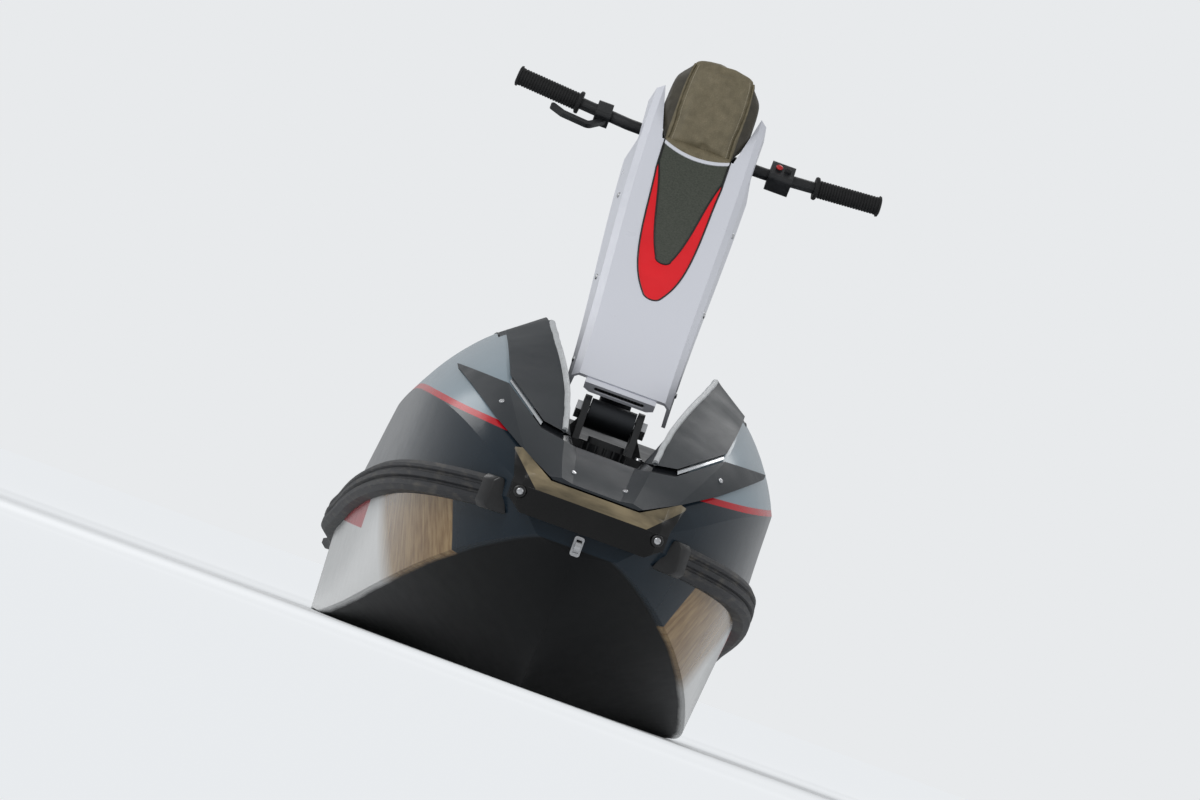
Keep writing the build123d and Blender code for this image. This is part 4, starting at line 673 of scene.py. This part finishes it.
add_screws(screws, spots, BRACKET_BOLT_RADIUS, BRACKET_BOLT_HEIGHT)
smooth(piece("bracket_bolts", screws, steel_finish, "root"), 40)

# Handle pole: a black anodised arm under a white gloss cover, which six screws hold at its skirts. A red
# trim lies let into the cover round a dark textured inlay, with a thin black bead in each joint.
POLE_ANGLE = radians(40)
PIVOT = Vector((0, 0.620 - LENGTH / 2, 0.590 - WATERLINE))
ALONG = Vector((0, cos(POLE_ANGLE), sin(POLE_ANGLE)))
ACROSS = Vector((0, -sin(POLE_ANGLE), cos(POLE_ANGLE)))


def on_pole(x, u, v):
    """Place in the pole's own frame: across it, along it from the pivot and square to it."""
    return PIVOT + Vector((x, 0, 0)) + ALONG * u + ACROSS * v


def rim(node):
    """The edge round a CAD inlay's outer face, as a run of points."""
    bm = merged(node)
    bm.normal_update()
    sharp = [edge for edge in bm.edges if len(edge.link_faces) == 2
             and max(face.normal.dot(ACROSS) for face in edge.link_faces) > 0.9
             and abs(min(face.normal.dot(ACROSS) for face in edge.link_faces)) < 0.5]
    steps = {}
    for edge in sharp:
        for vert in edge.verts:
            steps.setdefault(vert.index, []).append(edge.other_vert(vert).index)
    spots = {vert.index: vert.co.copy() for vert in bm.verts}
    bm.free()
    start = max(steps, key=lambda index: spots[index].dot(ALONG) + 0.001 * spots[index].x)
    walk = [start, steps[start][0]]
    while walk[-1] != start and len(walk) <= len(steps):
        ahead = [index for index in steps[walk[-1]] if index != walk[-2]]
        if not ahead:
            break
        walk.append(ahead[0])
    return [spots[index] for index in walk]


# Along the pole and square to it
COVER_SCREWS = (0.10, 0.34, 0.58)
COVER_SCREW_SIDE = 0.022
COVER_SCREW_RADIUS = 0.0056
COVER_SCREW_HEIGHT = 0.0034
BESIDE_POLE = 0.3
SEAL_BEAD = 0.0016
pole_finish, tree, shader = finish("pole_gloss_white", srgb(226, 228, 236), 0.25, specular=0.4)
feed(tree, shader.inputs["Roughness"], rise(tree, grain(tree, 20.0), -0.6, 2.6))
relief(tree, shader, grain(tree, 220.0, 2.0), 0.00004)
dress(pole_finish, "pole_cover", "pole_vent")
trim_finish, tree, shader = finish("trim_red", srgb(222, 20, 32), 0.3, specular=0.3)
feed(tree, shader.inputs["Base Color"], tint(tree, grain(tree, 14.0), srgb(230, 18, 32), srgb(250, 28, 40)))
feed(tree, shader.inputs["Roughness"], rise(tree, grain(tree, 40.0), -0.7, 2.2))
dress(trim_finish, "pole_trim")
inlay_finish, tree, shader = finish("inlay_grain", srgb(74, 77, 70), 0.6, specular=0.35)
shade = rise(tree, grain(tree, 300.0, 3.0), 0.3, 0.7)
feed(tree, shader.inputs["Base Color"], tint(tree, shade, srgb(60, 65, 57), srgb(80, 83, 75)))
relief(tree, shader, grain(tree, 1100.0, 2.0), 0.0004)
dress(inlay_finish, "pole_insert")
arm_finish, tree, shader = finish("arm_anodised", srgb(58, 60, 63), 0.35, metallic=0.9)
feed(tree, shader.inputs["Roughness"], rise(tree, grain(tree, 60.0), -0.8, 1.8))
dress(arm_finish, "pole_arm")

seal_finish, tree, shader = finish("inlay_seal", srgb(16, 17, 18), 0.45)
relief(tree, shader, grain(tree, 400.0, 2.0), 0.0002)
feed(tree, shader.inputs["Roughness"], rise(tree, grain(tree, 90.0), -0.4, 1.6))
seals = bmesh.new()
for node in ("pole_trim", "pole_insert"):
    add_tube(seals, rim(node), SEAL_BEAD, 2)
smooth(piece("inlay_seals", seals, seal_finish, "pole"))

screws = bmesh.new()
cover = skin("pole_cover")
spots = [landing(cover, on_pole(way * BESIDE_POLE, u, COVER_SCREW_SIDE), (-way, 0, 0))
         for u in COVER_SCREWS for _, way in SIDES]
add_screws(screws, spots, COVER_SCREW_RADIUS, COVER_SCREW_HEIGHT)
smooth(piece("cover_screws", screws, steel_finish, "pole"), 40)

# Vent grille: a black plastic grid with recessed cells, moulded in one piece and pressed into the slot of
# the cover's white end piece. Its black is partly painted shade that darkens the recessed slot.
# The slot's place along the pole and square to it, and the grille's half width and half height
SLOT_U = 0.014
SLOT_V = 0.043
GRILLE_HALF = (0.0462, 0.0042)
GRILLE_DEEP = 0.0032
GRILLE_THICK = 0.004
GRILLE_CELLS = 15
GRILLE_BAR = 0.0009
GRILLE_RECESS = 0.0022
grille = bmesh.new()
bmesh.ops.create_cube(grille, size=2.0)
for vert in grille.verts:
    x, deep, v = vert.co
    vert.co = on_pole(x * GRILLE_HALF[0], SLOT_U + GRILLE_DEEP + (deep + 1) / 2 * GRILLE_THICK,
                      SLOT_V + v * GRILLE_HALF[1])
for number in range(1, GRILLE_CELLS):
    cut = (2 * number / GRILLE_CELLS - 1) * GRILLE_HALF[0]
    bmesh.ops.bisect_plane(grille, geom=everything(grille), plane_co=(cut, 0, 0), plane_no=(1, 0, 0))
bmesh.ops.recalc_face_normals(grille, faces=grille.faces)
front = [face for face in grille.faces if face.normal.dot(ALONG) < -0.9]
bmesh.ops.inset_individual(grille, faces=front, thickness=GRILLE_BAR, depth=-GRILLE_RECESS)
smooth(piece("vent_grille_shade", grille, black_finish, "pole"), 30)

# White lip: a narrow gloss strip glued across the inlay, sagging in the middle. The apron of the pad's
# vinyl cover is tucked in behind it and lies on the inlay.
LIP_U = 0.711
LIP_SAG = 0.017
LIP_HALF = 0.0615
LIP_WIDE = 0.0085
LIP_THICK = 0.0024
LIP_SUNK = 0.0006
INLAY_END = 0.714
OVER_INLAY = 0.2
SHEET_LANDING = 0.97
SHEET_CURVE = 0.5


def lip_line(share, shift):
    """Place along the pole of a line across it, with the lip's sag."""
    return LIP_U - LIP_SAG * (1 - share ** 2) + shift


def closed_back(bm, edges, way):
    """Gives a sheet its edge and its back, away from its face."""
    skirt = bmesh.ops.extrude_edge_only(bm, edges=edges)
    away = [item for item in skirt["geom"] if isinstance(item, bmesh.types.BMVert)]
    bmesh.ops.translate(bm, verts=away, vec=way)
    bmesh.ops.holes_fill(bm, edges=[edge for edge in bm.edges if edge.is_boundary], sides=0)


def laid_sheet(half, low, high, thick):
    """A sheet laid on the inlay between two lines across it, closed underneath."""
    sheet = bmesh.new()
    bmesh.ops.create_grid(sheet, x_segments=24, y_segments=3, size=1.0)
    for vert in sheet.verts:
        across, along = vert.co.x, (vert.co.y + 1) / 2
        u = low(across) * (1 - along) + high(across) * along
        seat = on_pole(across * half * SHEET_LANDING, min(u, INLAY_END), OVER_INLAY)
        spot, _ = landing(inlay, seat, -ACROSS)
        lift = thick * (1 - SHEET_CURVE * vert.co.y ** 2)
        vert.co = on_pole(across * half, u, (spot - PIVOT).dot(ACROSS) + lift)
    closed_back(sheet, [edge for edge in sheet.edges if edge.is_boundary], -ACROSS * (thick + LIP_SUNK))
    return sheet


inlay = skin("pole_insert")
lip = laid_sheet(LIP_HALF, lambda share: lip_line(share, -LIP_WIDE / 2),
                 lambda share: lip_line(share, LIP_WIDE / 2), LIP_THICK)
smooth(piece("inlay_lip", lip, pole_finish, "pole"), 50)

# Pad over the handlebar: foam in a sewn marine-vinyl cover, its broad khaki face framed by piping and a
# sunk seam at each side, its sides painted in a darker khaki as shade. The cover is drawn tight over the
# foam, so it swells a little between seams.
# The cloth starts as the pad's own shape drawn in by a scale, and no point of it moves past the cap
PAD_START_SCALE = 0.975
PAD_VOXEL = 0.005
PAD_PRESSURE = 4.0
PAD_FRAMES = 20
PAD_CLOTH_CAP = 0.006
PAD_CROWN = 0.008
PAD_CROWN_DEPTH = 0.040
PAD_FACE_HALF = 0.0625
# Where the face starts to narrow, along the pole, and by how much
PAD_NARROWS = (0.800, 0.13)
# Across, along and square to the pole
PAD_SEAM = ((0.060, 0.7195, 0.070), (0.060, 0.765, 0.106), (0.059, 0.812, 0.144), (0.0553, 0.847, 0.161))
SEAM_STEPS = 10
SEAM_REACH = 0.006
SEAM_DEPTH = 0.0026
PIPING_RADIUS = 0.0021
PIPING_ASIDE = 0.0034
PIPING_SUNK = 0.0012
STITCH_ASIDE = 0.0062
STITCH_SIZE = (0.0005, 0.0005, 0.0014, 1)
STITCH_PROUD = 0.0001
APRON_START = LIP_WIDE / 2 - 0.0005
APRON_END = 0.7235
APRON_THICK = 0.0030
pad_finish, tree, shader = finish("pad_fabric", srgb(100, 92, 74), 0.75)
shade = rise(tree, grain(tree, 60.0, 5.0), 0.3, 0.72)
leather = tree.nodes.new("ShaderNodeTexVoronoi")
leather.inputs["Scale"].default_value = 620.0
tree.links.new(tree.nodes.new("ShaderNodeTexCoord").outputs["Object"], leather.inputs["Vector"])
x, y, z = places(tree)
up = calc(tree, "ADD", calc(tree, "MULTIPLY", calc(tree, "SUBTRACT", y, PIVOT.y), ALONG.y),
          calc(tree, "MULTIPLY", calc(tree, "SUBTRACT", z, PIVOT.z), ALONG.z))
past = calc(tree, "MAXIMUM", calc(tree, "SUBTRACT", up, PAD_NARROWS[0]), 0.0)
narrows = calc(tree, "MULTIPLY", past, PAD_NARROWS[1])
# Painted shade: past the face's edge the sides take a darker khaki
shaded_side = calc(tree, "SUBTRACT", calc(tree, "ADD", calc(tree, "ABSOLUTE", x), narrows), PAD_FACE_HALF)
shaded_side = rise(tree, shaded_side, 0.0, 0.0006)
colour = tint(tree, shaded_side, tint(tree, shade, srgb(116, 107, 82), srgb(142, 131, 104)),
              tint(tree, shade, srgb(60, 56, 47), srgb(78, 73, 60)))
crease = rise(tree, leather.outputs["Distance"], 0.0, 0.55)
creased = tint(tree, calc(tree, "MULTIPLY", crease, 0.35), colour, srgb(58, 53, 42))
feed(tree, shader.inputs["Base Color"], creased)
feed(tree, shader.inputs["Roughness"], rise(tree, grain(tree, 40.0), -1.6, 1.9))
relief(tree, shader, calc(tree, "MULTIPLY", crease, -1.0), 0.0003)


def settle(made):
    """Replaces a piece's mesh with what its modifiers make of it."""
    result = bpy.data.meshes.new_from_object(made.evaluated_get(bpy.context.evaluated_depsgraph_get()))
    made.modifiers.clear()
    old, made.data = made.data, result
    bpy.data.meshes.remove(old)


# Cover: an even mesh over the foam's shape, which pressure blows out as cloth.
pad_start = merged("pole_pad")
middle = sum((vert.co for vert in pad_start.verts), Vector()) / len(pad_start.verts)
bmesh.ops.scale(pad_start, verts=pad_start.verts, vec=(PAD_START_SCALE,) * 3,
                space=Matrix.Translation(-middle))
pad = piece("pole_pad_cover", pad_start, pad_finish, "pole")
remesh = pad.modifiers.new("remesh", "REMESH")
remesh.mode = "VOXEL"
remesh.voxel_size = PAD_VOXEL
settle(pad)
before = [vert.co.copy() for vert in pad.data.vertices]
cloth = pad.modifiers.new("cloth", "CLOTH")
cloth.settings.use_pressure = True
cloth.settings.uniform_pressure_force = PAD_PRESSURE
cloth.settings.effector_weights.gravity = 0.0
cloth.point_cache.frame_start = 1
cloth.point_cache.frame_end = PAD_FRAMES
for number in range(1, PAD_FRAMES + 1):
    bpy.context.scene.frame_set(number)
settle(pad)
bpy.context.scene.frame_set(1)
for vert, home in zip(pad.data.vertices, before):
    move = vert.co - home
    if move.length > PAD_CLOTH_CAP:
        vert.co = home + move * (PAD_CLOTH_CAP / move.length)
finer = pad.modifiers.new("finer", "SUBSURF")
finer.levels = finer.render_levels = 1
settle(pad)

# The top is crowned: it rises at its middle and falls away to its corners.
top = max(vert.co.z for vert in pad.data.vertices)
for vert in pad.data.vertices:
    near = max(0.0, 1 - (top - vert.co.z) / PAD_CROWN_DEPTH)
    vert.co.z += PAD_CROWN * near * (1 - 2 * (vert.co.x / PAD_FACE_HALF) ** 2)

# Seams: each line of the seam is brought to the swollen surface, the cover is drawn in along it, and
# piping and stitches follow it.
drawn = BVHTree.FromPolygons([v.co for v in pad.data.vertices], [p.vertices for p in pad.data.polygons])
seam_lines = []
for _, way in SIDES:
    line = []
    for (x0, u0, v0), (x1, u1, v1) in zip(PAD_SEAM, PAD_SEAM[1:]):
        for step in range(SEAM_STEPS):
            share = step / SEAM_STEPS
            spot = on_pole(way * (x0 + (x1 - x0) * share), u0 + (u1 - u0) * share, v0 + (v1 - v0) * share)
            line.append(drawn.find_nearest(spot)[:2])
    seam_lines.append(line)
for vert in pad.data.vertices:
    nearest = min((vert.co - spot).length for line in seam_lines for spot, _ in line)
    if nearest < SEAM_REACH:
        vert.co -= vert.normal * SEAM_DEPTH * (1 - nearest / SEAM_REACH) ** 1.5
pad.data.shade_smooth()
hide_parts("pole_pad")
apron = laid_sheet(LIP_HALF, lambda share: lip_line(share, APRON_START), lambda share: APRON_END,
                   APRON_THICK)
smooth(piece("pad_apron", apron, pad_finish, "pole"), 50)

thread_finish, tree, shader = finish("pad_thread", srgb(168, 160, 140), 0.7)
thread = tint(tree, grain(tree, 900.0), srgb(150, 142, 122), srgb(184, 176, 156))
feed(tree, shader.inputs["Base Color"], thread)
relief(tree, shader, grain(tree, 2500.0, 2.0), 0.0001)
piping, stitches = bmesh.new(), bmesh.new()
for (_, way), line in zip(SIDES, seam_lines):
    edge = [spot + Vector((way * PIPING_ASIDE, 0, 0)) - normal * PIPING_SUNK for spot, normal in line]
    add_tube(piping, edge, PIPING_RADIUS)
    for (spot, normal), (ahead, _) in zip(line, line[1:]):
        run = (ahead - spot).normalized()
        if run.length < 0.5:
            continue
        aside = normal.cross(run).normalized()
        if aside.x * way > 0:
            aside = -aside
        for share in (0.25, 0.75):
            middle = spot.lerp(ahead, share) + aside * STITCH_ASIDE
            home, up = drawn.find_nearest(middle)[:2]
            turn = run.to_track_quat("Z", "Y").to_matrix().to_4x4()
            place = Matrix.Translation(home + up * STITCH_PROUD) @ turn @ Matrix.Diagonal(STITCH_SIZE)
            bmesh.ops.create_uvsphere(stitches, u_segments=6, v_segments=5, radius=1.0, matrix=place)
smooth(piece("pad_piping", piping, pad_finish, "pole"))
smooth(piece("pad_stitches", stitches, thread_finish, "pole"))

# Handlebar: black steel tube in a clamp on the steering stem, with a finger throttle on one side and the
# switch housing on the other. Four screws hold the clamp.
# Across and along the pole
CLAMP_SCREWS = tuple((x, u) for x in (-0.029, 0.029) for u in (0.776, 0.804))
CLAMP_SCREW_RADIUS = 0.0055
CLAMP_SCREW_HEIGHT = 0.005
OVER_CLAMP = 0.1
dress(black_finish, "handlebar", "bar_clamp", "throttle_lever", "switch_housing")
dress(steel_finish, "steering_stem")
screws = bmesh.new()
clamp = skin("bar_clamp")
spots = [landing(clamp, on_pole(x, u, OVER_CLAMP), -ACROSS) for x, u in CLAMP_SCREWS]
add_screws(screws, spots, CLAMP_SCREW_RADIUS, CLAMP_SCREW_HEIGHT)
smooth(piece("clamp_screws", screws, steel_finish, "handlebar"), 40)

# Grips: moulded rubber sleeves with close ribs, a flange at the hand's inner side and a rounded end. They
# are pushed over the ends of the tube and glued.
# Across, along and square to the pole. From its bend out to there, the tube sweeps along the pole.
BAR_END = Vector((0.342, 0.814, 0.014))
BAR_BEND_X = 0.130
BAR_SWEEP = 0.024
GRIP_LENGTH = 0.125
GRIP_RADIUS = 0.0165
# Half outlines of the end cap, from the tube's end, and of the flange, from its inner side: place, radius
GRIP_CAP = ((0.006, 0.0), (0.006, 0.0145), (0.0045, 0.0185), (0.001, 0.0195), (0.0, 0.0168))
GRIP_FLANGE = ((0.008, 0.0170), (0.006, 0.0208), (0.003, 0.0214), (0.0, 0.0205), (0.0, 0.0))
FIRST_RIB = -0.002
RIBS_CLEAR = 0.012
RIB_PITCH = 0.0052
RIB_WIDE = 0.0028
RIB_DEEP = 0.0011
RIB_SIDE = 0.0006
GROOVE_WIDE = 0.0012
bar_lean = Vector((BAR_END.x - BAR_BEND_X, BAR_SWEEP)).normalized()
for name, way in SIDES:
    end = on_pole(way * BAR_END.x, BAR_END.y, BAR_END.z)
    outward = (Vector((way * bar_lean.x, 0, 0)) + ALONG * bar_lean.y).normalized()
    outline = list(GRIP_CAP)
    mark = FIRST_RIB
    while mark > RIBS_CLEAR - GRIP_LENGTH + RIB_PITCH:
        groove = mark - RIB_WIDE - RIB_SIDE
        outline += [(mark, GRIP_RADIUS), (mark - RIB_WIDE, GRIP_RADIUS), (groove, GRIP_RADIUS - RIB_DEEP),
                    (groove - GROOVE_WIDE, GRIP_RADIUS - RIB_DEEP)]
        mark -= RIB_PITCH
    inner = GRIP_CAP[0][0] - GRIP_LENGTH
    outline += [(inner + place, radius) for place, radius in GRIP_FLANGE]
    bm = bmesh.new()
    verts = [bm.verts.new((radius, 0, offset)) for offset, radius in outline]
    edges = [bm.edges.new(pair) for pair in zip(verts, verts[1:])]
    bmesh.ops.spin(bm, geom=verts + edges, cent=(0, 0, 0), axis=(0, 0, 1), dvec=(0, 0, 0), angle=2 * pi,
                   steps=32, use_merge=True)
    bmesh.ops.remove_doubles(bm, verts=bm.verts, dist=2 * SAME_PLACE)
    bmesh.ops.transform(bm, matrix=outward.to_track_quat("Z", "Y").to_matrix().to_4x4(), verts=bm.verts)
    bmesh.ops.translate(bm, vec=end, verts=bm.verts)
    grip = smooth(piece(f"ribbed_grip_{name}", bm, grip_finish, "handlebar"), 30)
    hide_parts(f"grip_{name}")

# Buttons on the switch housing: a red stop button and a dark start button. Both are domed plastic mouldings
# that stand in holes in the housing's face.
# Along the pole and square to it
BUTTON_ALONG = 0.792
BUTTON_UP = 0.0385
BUTTON_RADIUS = 0.0064
BUTTON_FLAT = 0.45
button_finish, tree, shader = finish("stop_button", srgb(186, 24, 28), 0.4)
feed(tree, shader.inputs["Roughness"], rise(tree, grain(tree, 200.0), -0.4, 2.0))
relief(tree, shader, grain(tree, 900.0, 2.0), 0.0001)
turn = ACROSS.to_track_quat("Z", "Y").to_matrix().to_4x4() @ Matrix.Diagonal((1, 1, BUTTON_FLAT, 1))
for name, x, look, slot in (("stop_button_cap", 0.152, button_finish, "pole_red"),
                            ("start_button_cap", 0.169, grip_finish, "grip_rubber")):
    bm = bmesh.new()
    place = Matrix.Translation(on_pole(x, BUTTON_ALONG, BUTTON_UP)) @ turn
    bmesh.ops.create_uvsphere(bm, u_segments=24, v_segments=12, radius=BUTTON_RADIUS, matrix=place)
    smooth(piece(name, bm, look, "handlebar"), 60)

# Jet pump: cast aluminium housing with its stator, a stainless impeller on the drive shaft, and the
# steering nozzle on two pins. Six bolts hold its flange to the tunnel's bulkhead.
PUMP_AXIS = 0.112 - WATERLINE
FLANGE_BACK = 0.80
FLANGE_BOLT_CIRCLE = 0.087
# Across and height
FLANGE_BOLTS = tuple((FLANGE_BOLT_CIRCLE * cos(radians(turn)),
                      PUMP_AXIS + FLANGE_BOLT_CIRCLE * sin(radians(turn)))
                     for turn in (30, 90, 150, 210, 270, 330))
FLANGE_BOLT_RADIUS = 0.006
FLANGE_BOLT_HEIGHT = 0.005
cast_finish, tree, shader = finish("cast_aluminium", srgb(142, 144, 146), 0.45, metallic=0.85)
feed(tree, shader.inputs["Roughness"], rise(tree, grain(tree, 70.0, 5.0), -0.4, 1.6))
relief(tree, shader, grain(tree, 500.0, 3.0), 0.0003)
dress(cast_finish, "pump_housing", "steering_nozzle", "engine_block")
dress(steel_finish, "impeller", "drive_shaft", "nozzle_pins")
screws = bmesh.new()
housing = skin("pump_housing")
spots = [landing(housing, (x, FLANGE_BACK, z), (0, -1, 0)) for x, z in FLANGE_BOLTS]
add_screws(screws, spots, FLANGE_BOLT_RADIUS, FLANGE_BOLT_HEIGHT)
smooth(piece("flange_bolts", screws, steel_finish, "root"), 40)

# Under the hull and on the transom: cast grate over the intake, black ride plate under the pump, the
# exhaust outlet, the drain plugs and a steel eye at each corner, all screwed on.
# Across and along the craft
PLATE_SCREWS = tuple((x, y) for x in (-0.082, 0.082) for y in (0.83, 1.03, 1.24))
PLATE_SCREW_RADIUS = 0.008
PLATE_SCREW_HEIGHT = 0.003
# Across and height
OUTLET = (-0.222, 0.075)
OUTLET_SCREW_CIRCLE = 0.0352
EYE_X = 0.250
EYE_SCREWS = (0.191, 0.229)
SMALL_SCREW_RADIUS = 0.0034
SMALL_SCREW_HEIGHT = 0.002
ASTERN = 1.6
BENEATH = -0.3
dress(cast_finish, "intake_grate")
dress(black_finish, "ride_plate", "exhaust_outlet", "drain_plugs")
dress(steel_finish, "stern_eye_port", "stern_eye_starboard")
screws = bmesh.new()
plate = skin("ride_plate")
spots = [landing(plate, (x, y, BENEATH), (0, 0, 1)) for x, y in PLATE_SCREWS]
add_screws(screws, spots, PLATE_SCREW_RADIUS, PLATE_SCREW_HEIGHT)
outlet = skin("exhaust_outlet")
spots = [landing(outlet, (OUTLET[0] + OUTLET_SCREW_CIRCLE * cos(radians(turn)), ASTERN,
                          OUTLET[1] + OUTLET_SCREW_CIRCLE * sin(radians(turn))), (0, -1, 0))
         for turn in (45, 135, 225, 315)]
add_screws(screws, spots, SMALL_SCREW_RADIUS, SMALL_SCREW_HEIGHT)
for name, way in SIDES:
    eye = skin(f"stern_eye_{name}")
    spots = [landing(eye, (way * EYE_X, ASTERN, z), (0, -1, 0)) for z in EYE_SCREWS]
    add_screws(screws, spots, SMALL_SCREW_RADIUS, SMALL_SCREW_HEIGHT)
smooth(piece("hull_screws", screws, steel_finish, "root"), 40)
